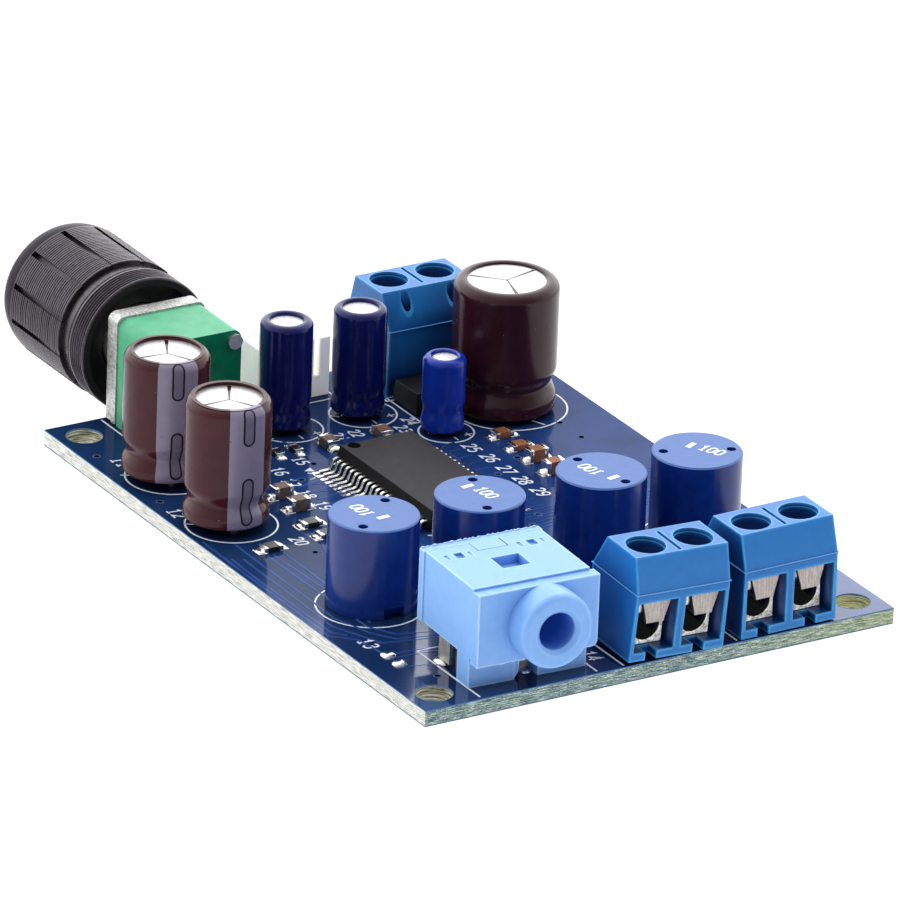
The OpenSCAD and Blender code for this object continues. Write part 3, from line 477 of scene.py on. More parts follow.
def coil(name, base_top, base_side):
    """Matte moulded top and glossy side, told apart by the normal."""
    M = Mat(name)
    nx, ny, nz = M.sep(M.geo_normal())
    f = M.ramp(nz, [(0.35, 0.0), (0.6, 1.0)])
    n = M.noise(0.9, 4, 0.6)
    top = M.ramp(n, [(0.3, tuple(v * 0.94 for v in base_top[:3])), (0.7, tuple(v * 1.06 for v in base_top[:3]))])
    side = M.ramp(n, [(0.3, tuple(v * 0.85 for v in base_side[:3])), (0.7, tuple(v * 1.15 for v in base_side[:3]))])
    M.set(Base_Color=M.mix(f, side, top))
    M.set(Roughness=M.math("MULTIPLY_ADD", f, 0.28, 0.20))
    M.b.inputs["Specular IOR Level"].default_value = 0.4
    M.b.inputs["Coat Weight"].default_value = 0.0
    M.bump(M.noise(1.1, 2, 0.5, seed=1), 0.010)
    M.bump(M.math("MULTIPLY", M.noise(10, 3, 0.6), f), 0.01)
    return M


def knob_metal():
    M = Mat("knob_metal")
    n = M.noise(1.5, 4, 0.6)
    col = M.ramp(n, [(0.3, (0.040, 0.033, 0.045)), (0.7, (0.064, 0.054, 0.070))])
    front = M.ramp(M.math("SUBTRACT", M.sep()[1], 83.9), [(0.0, 0.0), (0.4, 1.0)])
    # painted shade: darker in the ribs and slots, and the rounded end darker and less shiny
    M.set(Base_Color=M.mix(M.ao(0.4, 0.22, 0.75), (0.010, 0.009, 0.011, 1), M.mix(front, col, (0.024, 0.019, 0.029, 1))),
          Roughness=M.math("MULTIPLY_ADD", M.noise(4, 3, 0.6, seed=2), 0.10, 0.19), Metallic=M.math("MULTIPLY_ADD", front, -0.85, 0.88),
          Specular_IOR_Level=M.math("MULTIPLY_ADD", front, -0.48, 0.5), Coat_Weight=M.math("MULTIPLY_ADD", front, -0.16, 0.16))
    M.b.inputs["Coat Roughness"].default_value = 0.25
    M.bump(M.noise(14, 2, 0.6), 0.004)
    return M


def sleeve(name, rgb, rough=0.22, gloss=0.5):
    M = Mat(name)
    n = M.noise(0.7, 4, 0.6)
    M.set(Base_Color=M.ramp(n, [(0.3, tuple(v * 0.85 for v in rgb[:3])), (0.7, tuple(v * 1.12 for v in rgb[:3]))]),
          Roughness=rough_of(M, rough, 0.05))
    M.b.inputs["Specular IOR Level"].default_value = gloss
    M.bump(M.noise(1.3, 3, 0.6, stretch=(1, 1, 0.5)), 0.02)
    M.bump(M.noise(6, 2, 0.5), 0.003)
    return M


MATS["die_cast"] = die_cast()
MATS["can"] = can_top()
MATS["nickel"] = nickel("nickel", (0.27, 0.24, 0.22), (0.50, 0.455, 0.43), 0.42, 0.0, 0.65)
MATS["cage"] = nickel("cage_steel", (0.34, 0.34, 0.33), (0.86, 0.86, 0.83), 0.36, 0.06, 0.12)
MATS["green"] = green()
MATS["coil"] = coil("coil_blue", lin(64, 102, 168), lin(10, 42, 116))
MATS["knob"] = knob_metal()
# painted shade: slot floors in a darker metal; crevices, the rim face and the inside in near black
MATS["knob_slot_shade"] = metal("knob_slot_shade", (0.030, 0.026, 0.034), 0.34, var=0.15, grain=0.004)
MATS["knob_dark"] = plastic("knob_shade_black", (0.010, 0.010, 0.011), 0.6, spec=0.15, grain=0.004)
MATS["brown"] = sleeve("sleeve_brown", lin(64, 26, 32), 0.16, gloss=0.22)
MATS["dark"] = sleeve("sleeve_dark", lin(50, 19, 27), 0.18, gloss=0.27)
MATS["navy"] = sleeve("sleeve_navy", lin(14, 22, 88), 0.16, gloss=0.28)
MATS["navy_small"] = sleeve("sleeve_navy_small", lin(13, 46, 156), 0.2, gloss=0.32)
MATS["laminate"] = plastic("bare_laminate", lin(196, 200, 170), 0.45, var=0.12, scale=3)
MATS["chip_mark"] = plastic("chip_mark", lin(14, 12, 13), 0.9, spec=0.0)
MATS["stripe"] = plastic("stripe_lilac", lin(124, 117, 140), 0.30, var=0.06, grain=0.004)
for k_, c_, r_ in (("stripe", lin(70, 58, 74), 0.045), ("brown", lin(190, 180, 184), 0.018), ("dark", lin(170, 160, 166), 0.02), ("navy", lin(120, 130, 190), 0.016)):
    M_ = MATS[k_]
    M_.set(Base_Color=M_.mix(M_.ramp(M_.voronoi(0.75), [(r_, 1.0), (r_ * 1.5, 0.0)]), M_.b.inputs["Base Color"].links[0].from_socket, c_))
MATS["stripe_mark"] = plastic("stripe_mark", lin(20, 8, 14), 0.5, spec=0.2)

USE = {
    "circuit_board": "board", "solder_fillets": "solder", "pot_bushing_plate": "die_cast", "pot_housing": "green",
    "pot_rivets": "rivet", "pot_track_wafers": "wafer", "pot_terminals": "tinned", "pot_shaft": "shaft",
    "pot_rotor": "rotor", "pot_wipers": "wiper", "knob_shell": "knob", "knob_hub": "hub",
    "speaker_terminal_a_housing": "terminal", "speaker_terminal_b_housing": "terminal",
    "power_terminal_housing": "terminal", "terminal_wire_cages": "cage",
    "jack_housing": "jack", "jack_rear_cover": "jack", "jack_sleeve_contact": "contact", "jack_tip_spring": "contact",
    "jack_ring_spring": "contact", "jack_switch_contacts": "contact", "header_housing": "cream", "header_pins": "tinned",
    "amplifier_chip_body": "chip", "amplifier_chip_leads": "tinned", "diode_body": "diode", "diode_tabs": "tinned",
    "chip_capacitor_bodies": "ceramic", "chip_capacitor_end_caps": "solder", "chip_resistor_bodies": "resistor",
    "chip_resistor_end_caps": "solder", "output_inductor_1": "coil", "output_inductor_2": "coil",
    "output_inductor_3": "coil", "output_inductor_4": "coil", "inductor_leads": "tinned",
    "brown_capacitor_sleeves": "brown", "brown_capacitor_cans": "can", "main_capacitor_sleeve": "dark",
    "main_capacitor_can": "can", "blue_capacitor_sleeves": "navy", "blue_capacitor_cans": "can",
    "small_capacitor_sleeve": "navy", "small_capacitor_can": "can", "capacitor_leads": "tinned",
}
for name, o in NODES.items():
    key = USE.get(name) or ("nickel" if name.endswith("_leaf") else "screw")
    mat = MATS[key].m
    if not o.material_slots:
        o.data.materials.append(mat)
    for s in o.material_slots:
        s.material = mat


# ------------------------------------------------------------------ mesh building
class MB:
    """Collects faces in board millimetres, then makes one object of them."""

    def __init__(self):
        self.v, self.f, self.mi = [], [], []

    def add(self, verts, faces, mi=0):
        n = len(self.v)
        self.v += [tuple(p) for p in verts]
        self.f += [tuple(i + n for i in f) for f in faces]
        self.mi += [mi] * len(faces)

    def slab(self, outer, inner, closed_u=False, mi=0):
        """A closed sheet between two grids of points, outer[i][j] and inner[i][j]."""
        nu, nv = len(outer), len(outer[0])
        vs = [p for row in outer for p in row] + [p for row in inner for p in row]
        o = lambda i, j: (i % nu) * nv + j
        k = lambda i, j: nu * nv + (i % nu) * nv + j
        fs = []
        for i in range(nu if closed_u else nu - 1):
            for j in range(nv - 1):
                fs.append((o(i, j), o(i + 1, j), o(i + 1, j + 1), o(i, j + 1)))
                fs.append((k(i, j), k(i, j + 1), k(i + 1, j + 1), k(i + 1, j)))
            fs.append((o(i, 0), k(i, 0), k(i + 1, 0), o(i + 1, 0)))
            fs.append((o(i, nv - 1), o(i + 1, nv - 1), k(i + 1, nv - 1), k(i, nv - 1)))
        if not closed_u:
            for j in range(nv - 1):
                fs.append((o(0, j), o(0, j + 1), k(0, j + 1), k(0, j)))
                fs.append((o(nu - 1, j), k(nu - 1, j), k(nu - 1, j + 1), o(nu - 1, j + 1)))
        self.add(vs, fs, mi)

    def strip(self, pts, w, z0, z1, closed=False, to=None, slope=0.0, mi=0):
        """A flat band of width w along pts (x, y), from z0 to z1; slope draws the top in."""
        n = len(pts)
        P = [Vector((p[0], p[1])) for p in pts]
        outer, inner = [], []
        for i in range(n):
            a_ = P[i - 1] if (i > 0 or closed) else None
            c_ = P[(i + 1) % n] if (i < n - 1 or closed) else None
            d1 = (P[i] - a_).normalized() if a_ is not None else None
            d2 = (c_ - P[i]).normalized() if c_ is not None else None
            if d1 is None:
                d1 = d2
            if d2 is None:
                d2 = d1
            t = (d1 + d2)
            t = t.normalized() if t.length > 1e-6 else d1
            nrm = Vector((-t.y, t.x))
            k = 1 / max(0.35, nrm.dot(Vector((-d1.y, d1.x))))
            hb, ht = w / 2 * k, max(0.01, w / 2 - slope) * k
            L, Rr = P[i] - nrm * ht, P[i] + nrm * ht
            Lb, Rb = P[i] - nrm * hb, P[i] + nrm * hb
            outer.append([(L.x, L.y, z1), (Rr.x, Rr.y, z1)])
            inner.append([(Lb.x, Lb.y, z0), (Rb.x, Rb.y, z0)])
        if to:
            outer = [[to(*p) for p in r] for r in outer]
            inner = [[to(*p) for p in r] for r in inner]
        self.slab(outer, inner, closed_u=closed, mi=mi)

    def prism(self, poly, z0, z1, inset=0.0, mi=0, to=None):
        """A closed prism on a convex polygon; inset draws the top in."""
        n = len(poly)
        cx = sum(p[0] for p in poly) / n
        cy = sum(p[1] for p in poly) / n
        top = []
        for p in poly:
            d = Vector((p[0] - cx, p[1] - cy))
            d = d * (1 - inset / max(d.length, 1e-6))
            top.append((cx + d.x, cy + d.y, z1))
        vs = [(p[0], p[1], z0) for p in poly] + top
        if to:
            vs = [to(*p) for p in vs]
        fs = [tuple(range(n - 1, -1, -1)), tuple(range(n, 2 * n))]
        fs += [(i, (i + 1) % n, n + (i + 1) % n, n + i) for i in range(n)]
        self.add(vs, fs, mi)

    def blob(self, cx, cy, rx, ry, h, z0=0.0, seg=20, rings=5, seed=0, rot=0.0, power=2.6, wob=0.08, mi=0):
        """A low smooth mound, such as a solder joint."""
        r_ = random.Random(seed)
        ph = [r_.uniform(0, 6.28) for _ in range(3)]
        vs, fs = [], []
        for k in range(rings + 1):
            t = k / rings
            rad = math.cos(t * math.pi / 2) ** (2 / power)
            zz = z0 + h * math.sin(t * math.pi / 2)
            if k == rings:
                vs.append((cx, cy, z0 + h))
                break
            for i in range(seg):
                a_ = 2 * math.pi * i / seg
                c_, s_ = math.cos(a_), math.sin(a_)
                q = 1 + wob * (math.sin(2 * a_ + ph[0]) + 0.6 * math.sin(3 * a_ + ph[1]))
                px = rx * rad * q * math.copysign(abs(c_) ** 0.7, c_)
                py = ry * rad * q * math.copysign(abs(s_) ** 0.7, s_)
                vs.append((cx + px * math.cos(rot) - py * math.sin(rot), cy + px * math.sin(rot) + py * math.cos(rot), zz))
        for k in range(rings):
            for i in range(seg):
                j = (i + 1) % seg
                if k == rings - 1:
                    fs.append((k * seg + i, k * seg + j, len(vs) - 1))
                else:
                    fs.append((k * seg + i, k * seg + j, (k + 1) * seg + j, (k + 1) * seg + i))
        fs.append(tuple(range(seg - 1, -1, -1)))
        self.add(vs, fs, mi)

    def revolve(self, prof, cx, cy, z0=0.0, angles=None, mat_of=None, axis="z"):
        """Turns an outline [(r, z)] from the axis to the axis about a vertical line (or y)."""
        angles = angles or [2 * math.pi * i / 160 for i in range(160)]
        n = len(angles)
        idx, vs = [], []
        for r_, z_ in prof:
            if r_ < 1e-6:
                idx.append([len(vs)] * n)
                vs.append((0.0, 0.0, z_))
            else:
                idx.append(list(range(len(vs), len(vs) + n)))
                vs += [(r_ * math.cos(a_), r_ * math.sin(a_), z_) for a_ in angles]
        if axis == "y":
            vs = [(cx + p[0], p[2] + cy, z0 + p[1]) for p in vs]
        else:
            vs = [(cx + p[0], cy + p[1], z0 + p[2]) for p in vs]
        base = len(self.v)
        self.v += vs
        for k in range(len(prof) - 1):
            for i in range(n):
                j = (i + 1) % n
                q = [idx[k][i], idx[k][j], idx[k + 1][j], idx[k + 1][i]]
                q = [q[t] for t in range(4) if q[t] != q[t - 1]]
                if len(set(q)) < 3:
                    continue
                if axis == "y":
                    q = q[::-1]
                self.f.append(tuple(base + t for t in q))
                self.mi.append(mat_of(k, angles[i] + 1e-4) if mat_of else 0)

    def obj(self, name, mats, body="module", smooth=None, replaces=(), slot=None, weld=True):
        me = bpy.data.meshes.new(name)
        me.from_pydata([tuple(B(*p)) for p in self.v], [], self.f)
        for mt in mats:
            me.materials.append(MATS[mt].m if isinstance(mt, str) else mt)
        me.polygons.foreach_set("material_index", self.mi)
        bm = bmesh.new()
        bm.from_mesh(me)
        if weld:
            bmesh.ops.remove_doubles(bm, verts=bm.verts, dist=1e-8)
        bmesh.ops.recalc_face_normals(bm, faces=bm.faces)
        for f_ in bm.faces:
            f_.smooth = smooth is not None
        if smooth is not None:
            for e_ in bm.edges:
                e_.smooth = not (len(e_.link_faces) != 2 or e_.calc_face_angle(0) > math.radians(smooth))
        bm.to_mesh(me)
        bm.free()
        o = bpy.data.objects.new(name, me)
        bpy.context.scene.collection.objects.link(o)
        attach(o, body)
        if replaces:
            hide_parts(*replaces)
        return o


def refine(node, width, seg=2, angle=32, body=None, mat=None, name=None):
    """A copy of a CAD node with its edges softly rounded, shown in its place."""
    src = NODES[node]
    bm = bmesh.new()
    bm.from_mesh(src.data)
    bmesh.ops.remove_doubles(bm, verts=bm.verts, dist=2e-7)
    bmesh.ops.dissolve_limit(bm, angle_limit=math.radians(0.8), verts=bm.verts, edges=bm.edges)
    for f_ in bm.faces:
        f_.smooth = True
        f_.material_index = 0
    bm.verts.ensure_lookup_table()
    bm.verts.index_update()
    vs = [v.co.copy() for v in bm.verts]
    fs = [[v.index for v in f_.verts] for f_ in bm.faces]
    bm.free()
    me = bpy.data.meshes.new(name or node + "_look")
    me.from_pydata(vs, [], fs)
    me.polygons.foreach_set("use_smooth", [True] * len(fs))
    me.materials.append((mat or src.material_slots[0].material))
    o = bpy.data.objects.new(name or node + "_look", me)
    bpy.context.scene.collection.objects.link(o)
    bv = o.modifiers.new("round", "BEVEL")
    bv.width = width / 1000
    bv.segments = seg
    bv.limit_method = "ANGLE"
    bv.angle_limit = math.radians(angle)
    bv.use_clamp_overlap = True
    bv.miter_outer = "MITER_ARC"
    wn = o.modifiers.new("shade", "WEIGHTED_NORMAL")
    wn.keep_sharp = False
    wn.weight = 80
    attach(o, body or src["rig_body"])
    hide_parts(node)
    return o


ROT = lambda a_, b_, c_: (Matrix.Rotation(math.radians(c_), 3, "Z") @ Matrix.Rotation(math.radians(b_), 3, "Y")
                          @ Matrix.Rotation(math.radians(a_), 3, "X"))


def local(t, r):
    M_ = ROT(*r)
    t = Vector(t)
    return lambda x, y, z: tuple(M_ @ Vector((x, y, z)) + t)


TERM = {
    "speaker_terminal_a_housing": local((21.24, -0.35, 10.16 * math.sin(math.radians(2.5))), (2.5, 2.5, 0.5)),
    "speaker_terminal_b_housing": local((33.55, 0.05, 0.04), (0, -0.6, 0)),
    "power_terminal_housing": local((42.86, 69.7, 0), (0, 0, 180)),
}
SOCK = local((5.88, 2.13, 0), (0, 0, -2.7))


# ------------------------------------------------------------------ capacitors
def arc(cx, cz, r_, a0, a1, n):
    return [(cx + r_ * math.cos(math.radians(a0 + (a1 - a0) * i / n)), cz + r_ * math.sin(math.radians(a0 + (a1 - a0) * i / n)))
            for i in range(n + 1)]


def smooth(t):
    t = max(0.0, min(1.0, t))
    return t * t * (3 - 2 * t)


def cap_profile(R_, h, groove, depth, disc, lip, shoulder=0.9, bulge=0.05):
    """Outer outline of the sleeve, from the base to the lip round the bare disc."""
    foot = 0.45 if R_ > 3 else 0.3
    pts = arc(R_ - foot, foot, foot, -90, 0, 8)
    up = 1.5 if R_ > 3 else 1.0
    for z_ in np.arange(foot + 0.05, h - shoulder, 0.12):
        if z_ < groove:
            t = (groove - z_) / (groove - foot)
            r_ = R_ + bulge * math.sin(math.pi * min(1, t * 1.3)) - depth * (1 - smooth(t * 1.3))
        else:
            t = (z_ - groove) / up
            r_ = R_ - depth * (1 - smooth(t))
        pts.append((r_, float(z_)))
    pts += arc(R_ - shoulder, h - shoulder, shoulder, 2, 90, 14)
    # lip rolls over to the disc
    pts += [(disc + 0.25, h + 0.0), (disc + 0.1, h - 0.03), (disc + 0.02, h - 0.10), (disc, h - lip)]
    return pts


def on_profile(prof, s_, off):
    """Point and outward offset at arc length s along the outline."""
    acc = 0.0
    for i in range(len(prof) - 1):
        a_, b_ = Vector(prof[i]), Vector(prof[i + 1])
        L = (b_ - a_).length
        if acc + L >= s_ or i == len(prof) - 2:
            t = min(1.0, (s_ - acc) / max(L, 1e-9))
            q = a_.lerp(b_, t)
            # smooth normal
            lo_, hi_ = max(0, i - 1), min(len(prof) - 1, i + 2)
            d = (Vector(prof[hi_]) - Vector(prof[lo_])).normalized()
            return q.x + d.y * off, q.y - d.x * off
        acc += L


CAM_AZ = math.radians(-121.8)
CAPS = {  # name: x, y, diameter, height, standoff, groove, depth, disc, lip
    "brown_left": (4.73, 55.60, 8.10, 12.05, 0.85, 2.15, 0.50, 3.24, 0.40),
    "brown_right": (4.51, 43.71, 8.10, 12.05, 0.85, 2.15, 0.50, 3.32, 0.40),
    "main": (41.57, 55.50, 10.06, 12.90, 0.40, 2.75, 0.50, 3.75, 0.25),
    "slim_left": (20.41, 60.35, 5.08, 10.50, 0.70, 1.75, 0.15, 1.60, 0.36),
    "slim_right": (28.32, 60.08, 5.14, 10.50, 0.65, 1.75, 0.17, 1.70, 0.36),
    "small": (33.42, 52.97, 4.14, 7.35, 0.55, 1.95, 0.17, 1.20, 0.30),
}
PROF = {k: cap_profile(c[2] / 2, c[3], c[5], c[6], c[7], c[8], 0.9 if c[2] > 6 else 0.6, 0.05 if c[2] > 6 else 0.02)
        for k, c in CAPS.items()}


def sleeves(name, keys, mat, replaces, stripes=None):
    mb = MB()
    marks = MB()
    for k in keys:
        c = CAPS[k]
        prof = [(0.0, 0.30), (c[2] / 2 - 0.9, 0.30), (c[2] / 2 - 0.85, 0.05), (c[2] / 2 - 0.75, 0.0)] + PROF[k]
        prof += [(c[7], c[3] - c[8] - 0.02), (0.0, c[3] - c[8] - 0.02)]
        ang = [2 * math.pi * i / 168 for i in range(168)]
        st = (stripes or {}).get(k)
        if st:
            a0, a1 = [(CAM_AZ + math.radians(v)) % (2 * math.pi) for v in st[:2]]
            ang = sorted(set(ang) | {a0, a1})
            mat_of = lambda kk, a_, a0=a0, a1=a1: 1 if a0 <= (a_ % (2 * math.pi)) < a1 else 0
        else:
            mat_of = None
        mb.revolve(prof, c[0], c[1], c[4], ang, mat_of)
        if st:
            mid = CAM_AZ + math.radians((st[0] + st[1]) / 2 + st[2])
            R_ = c[2] / 2
            total = sum((Vector(PROF[k][i + 1]) - Vector(PROF[k][i])).length for i in range(len(PROF[k]) - 1))
            for s0, s1 in ((0.85, 5.65), (9.05, 12.65)):
                hw = 0.53
                loop = []
                for i in range(15):
                    t = math.pi * i / 14
                    loop.append((hw * math.cos(t), s1 - hw + hw * math.sin(t)))
                m1 = 18
                for i in range(1, m1):
                    loop.append((-hw, s1 - hw - (s1 - s0 - 2 * hw) * i / m1))
                for i in range(15):
                    t = math.pi + math.pi * i / 14
                    loop.append((hw * math.cos(t), s0 + hw + hw * math.sin(t)))
                for i in range(1, m1):
                    loop.append((hw, s0 + hw + (s1 - s0 - 2 * hw) * i / m1))

                def at(u, s_, off, c=c, k=k, mid=mid, R_=R_):
                    r_, z_ = on_profile(PROF[k], s_, off)
                    a_ = mid + u / R_
                    return (c[0] + r_ * math.cos(a_), c[1] + r_ * math.sin(a_), c[4] + z_)

                n = len(loop)
                outer, inner = [], []
                for i in range(n):
                    p0, p1, p2 = Vector(loop[i - 1]), Vector(loop[i]), Vector(loop[(i + 1) % n])
                    t = (p2 - p0).normalized()
                    nr = Vector((t.y, -t.x)) * 0.085
                    outer.append([at(p1.x + nr.x, p1.y + nr.y, 0.014), at(p1.x - nr.x, p1.y - nr.y, 0.014)])
                    inner.append([at(p1.x + nr.x, p1.y + nr.y, -0.03), at(p1.x - nr.x, p1.y - nr.y, -0.03)])
                marks.slab(outer, inner, closed_u=True)
                # the field inside the outline
                rows_o, rows_i = [], []
                for i in range(25):
                    s_ = s0 + 0.06 + (s1 - s0 - 0.12) * i / 24
                    e_ = min(s_ - s0, s1 - s_)
                    w_ = math.sqrt(max(0.0025, hw * hw - max(0.0, hw - e_) ** 2)) - 0.03
                    rows_o.append([at(w_ * j, s_, 0.008) for j in (-1, -0.4, 0.4, 1)])
                    rows_i.append([at(w_ * j, s_, -0.03) for j in (-1, -0.4, 0.4, 1)])
                marks.slab(rows_o, rows_i, mi=1)
    o = mb.obj(name, [mat, "stripe"], smooth=50, replaces=replaces)
    if marks.v:
        marks.obj(name + "_marks", ["stripe_mark", "stripe_field"], smooth=40)
    return o


def cans(name, keys, scores, replaces):
    """Bare can ends with their pressed relief lines, inside the lips."""
    mb = MB()
    for k in keys:
        c = CAPS[k]
        r0, zt = c[7] + 0.12, c[4] + c[3] - c[8]
        n_a, n_r = 120, 26
        dirs = [math.radians(v) for v in scores[k]]
        gw, gd = (0.22, 0.10) if c[2] > 6 else (0.12, 0.05)

        def zat(x, y):
            z_ = zt
            r_ = math.hypot(x, y)
            for d in dirs:
                along = x * math.cos(d) + y * math.sin(d)
                across = abs(-x * math.sin(d) + y * math.cos(d))
                if along > -gw and r_ < c[7] * 0.97 and across < gw:
                    z_ = min(z_, zt - gd * (1 - across / gw))
            z_ += 0.05 * smooth(1 - r_ / (c[7] * 1.0)) if c[2] > 6 else 0
            return z_
        vs = [(c[0], c[1], zat(0, 0))]
        # angles bunch round the score lines
        angs = []
        for i in range(n_a):
            angs.append(2 * math.pi * i / n_a)
        rad = [r0 * (i + 1) / n_r for i in range(n_r)]
        extra = []
        for d in dirs:
            for off in (-0.16, -0.11, -0.07, -0.04, -0.02, 0, 0.02, 0.04, 0.07, 0.11, 0.16):
                extra.append((d + off) % (2 * math.pi))
        angs = sorted(angs + extra)
        keep = [angs[0]]
        for a_ in angs[1:]:
            if a_ - keep[-1] > 0.004:
                keep.append(a_)
        angs = keep
        na = len(angs)
        for r_ in rad:
            for a_ in angs:
                x, y = r_ * math.cos(a_), r_ * math.sin(a_)
                vs.append((c[0] + x, c[1] + y, zat(x, y)))
        fs = [(0, 1 + i, 1 + (i + 1) % na) for i in range(na)]
        for q in range(n_r - 1):
            for i in range(na):
                j = (i + 1) % na
                fs.append((1 + q * na + i, 1 + q * na + j, 1 + (q + 1) * na + j, 1 + (q + 1) * na + i))
        base = len(vs)
        last = 1 + (n_r - 1) * na
        for a_ in angs:
            vs.append((c[0] + r0 * math.cos(a_), c[1] + r0 * math.sin(a_), zt - 0.3))
        for i in range(na):
            j = (i + 1) % na
            fs.append((last + i, last + j, base + j, base + i))
        fs.append(tuple(base + i for i in range(na)))
        mb.add(vs, fs)
    return mb.obj(name, ["can"], smooth=60, replaces=replaces)


MATS["stripe_field"] = plastic("stripe_field", lin(104, 98, 120), 0.35, var=0.08)
sleeves("brown_capacitor_sleeves_look", ["brown_left", "brown_right"], "brown", ["brown_capacitor_sleeves"],
        {"brown_left": (-10.1, 47.5, -1.0), "brown_right": (3.5, 57.6, 0.0)})
sleeves("main_capacitor_sleeve_look", ["main"], "dark", ["main_capacitor_sleeve"])
sleeves("blue_capacitor_sleeves_look", ["slim_left", "slim_right"], "navy", ["blue_capacitor_sleeves"])
sleeves("small_capacitor_sleeve_look", ["small"], "navy_small", ["small_capacitor_sleeve"])
cans("brown_capacitor_cans_look", ["brown_left", "brown_right"], {"brown_left": (62, 175, -62), "brown_right": (60, 181, -60)}, ["brown_capacitor_cans"])
cans("main_capacitor_can_look", ["main"], {"main": (15, 135, -105)}, ["main_capacitor_can"])
cans("blue_capacitor_cans_look", ["slim_left", "slim_right"], {"slim_left": (), "slim_right": ()}, ["blue_capacitor_cans"])
cans("small_capacitor_can_look", ["small"], {"small": ()}, ["small_capacitor_can"])


# ------------------------------------------------------------------ knob
def knob():
    mb = MB()
    ax, az, R_, rs = 10.95, 6.4, 6.9, 6.35
    # stations along the axis: (y, radius, slotted)
    st = [(70.45, 6.0, 0), (70.45, R_ - 0.30, 0), (70.50, R_ - 0.18, 0), (70.62, R_ - 0.10, 0)]
    # three rounded ridges by the rim, then the neck
    y = 70.72
    for g in range(6):
        st += [(y, R_ - 0.10, 0), (y + 0.08, R_ - 0.14, 0), (y + 0.15, R_ - 0.25, 0), (y + 0.22, R_ - 0.25, 0), (y + 0.29, R_ - 0.12, 0)]
        y += 0.37
    st += [(73.0, R_ - 0.12, 0), (73.25, R_ - 0.20, 0), (73.5, R_ - 0.33, 0), (73.8, R_ - 0.38, 0), (74.6, R_ - 0.38, 0),
           (74.80, R_ - 0.42, 0), (74.88, R_ - 0.46, 0), (74.9, R_ - 0.40, 1), (74.94, R_ - 0.06, 1), (75.02, R_, 1)]
    y = 75.1
    kr = random.Random(31)
    while y < 83.85:
        dp, dy = kr.uniform(0.07, 0.16), kr.uniform(-0.02, 0.02)
        st += [(y, R_, 1), (y + 0.13 + dy, R_ - 0.01, 1), (y + 0.17 + dy, R_ - dp, 1), (y + 0.23, R_ - dp, 1), (y + 0.27, R_ - 0.01, 1)]
        y += 0.33
    st += [(84.05, R_, 1), (84.1, R_, 1), (84.11, R_, 0), (84.35, R_, 0), (84.8, R_ - 0.05, 0), (85.3, R_ - 0.14, 0), (85.8, R_ - 0.27, 0),
           (86.15, R_ - 0.42, 0), (86.38, R_ - 0.62, 0), (86.48, R_ - 0.85, 0), (86.5, R_ - 1.2, 0), (86.5, 0.0, 0)]
    inner = [(84.8, 0.0, 0), (84.8, 6.0, 0)]
    hw = 0.27
    cols = []  # (angle, kind): kind 1 floor of slot, 0 land
    for i in range(12):
        a0 = math.radians(12 + i * 30)
        da = hw / R_
        cols += [(a0 - da, 1), (a0, 1), (a0 + da, 1), (a0 + da + 0.0005, 0), (a0 + da + 0.008, 0)]
        span = math.radians(30) - 2 * da - 0.017
        for j in range(1, 14):
            cols.append((a0 + da + 0.0085 + span * j / 14, 0))
        cols += [(a0 + math.radians(30) - da - 0.008, 0), (a0 + math.radians(30) - da - 0.0005, 0)]
    n = len(cols)
    vs, fs, mis = [], [], []
    idx = []
    allst = st + []
    for (y_, r_, sl) in allst:
        if r_ < 1e-6:
            idx.append([len(vs)] * n)
            vs.append((ax, y_, az))
            continue
        idx.append(list(range(len(vs), len(vs) + n)))
        for a_, kind in cols:
            floor = rs + 0.47 * smooth((83.6 - y_) / 7.5)
            rr = min(r_, floor) if (sl and kind) else r_
            vs.append((ax + rr * math.cos(a_), y_, az + rr * math.sin(a_)))
    for k in range(len(allst) - 1):
        for i in range(n):
            j = (i + 1) % n
            q = [idx[k][i], idx[k + 1][i], idx[k + 1][j], idx[k][j]]
            q = [q[t] for t in range(4) if q[t] != q[t - 1]]
            if len(set(q)) >= 3:
                fs.append(tuple(q))
                slot_ = allst[k][2] and cols[i][1]
                # slots' front ends and the rim face in near black, other slot floors in darker metal: painted shade
                mis.append(1 if (slot_ and allst[k][0] > 83.3) or k == 0 else 2 if slot_ else 0)
    # inside: back of the end disc and the bore wall, joined to the rim, painted near black as shade
    b0 = len(vs)
    vs.append((ax, 84.8, az))
    ring = []
    for y_ in (84.8, 78.0, 71.8):
        ring.append(list(range(len(vs), len(vs) + n)))
        for a_, kind in cols:
            vs.append((ax + 6.0 * math.cos(a_), y_, az + 6.0 * math.sin(a_)))
    for i in range(n):
        j = (i + 1) % n
        fs.append((b0, ring[0][i], ring[0][j]))
        fs.append((ring[0][i], ring[1][i], ring[1][j], ring[0][j]))
        fs.append((ring[1][i], ring[2][i], ring[2][j], ring[1][j]))
        fs.append((ring[2][i], idx[0][i], idx[0][j], ring[2][j]))
    mb.add(vs, fs)
    mb.mi = mis + [1] * (len(fs) - len(mis))
    return mb.obj("knob_shell_look", ["knob", "knob_dark", "knob_slot_shade"], body="volume_knob", smooth=38, replaces=["knob_shell"])


knob()

# ------------------------------------------------------------------ board: mask edges, traces, print
silk = MB()
ZS0, ZS1 = -0.02, 0.022


def silk_line(pts, w=0.17, closed=False):
    silk.strip(pts, w, ZS0, ZS1, closed=closed)


def circle_pts(x, y, r_, a0=0, a1=360, n=72):
    full = abs(a1 - a0) >= 360
    return [(x + r_ * math.cos(math.radians(a0 + (a1 - a0) * i / n)), y + r_ * math.sin(math.radians(a0 + (a1 - a0) * i / n)))
            for i in range(n if full else n + 1)]


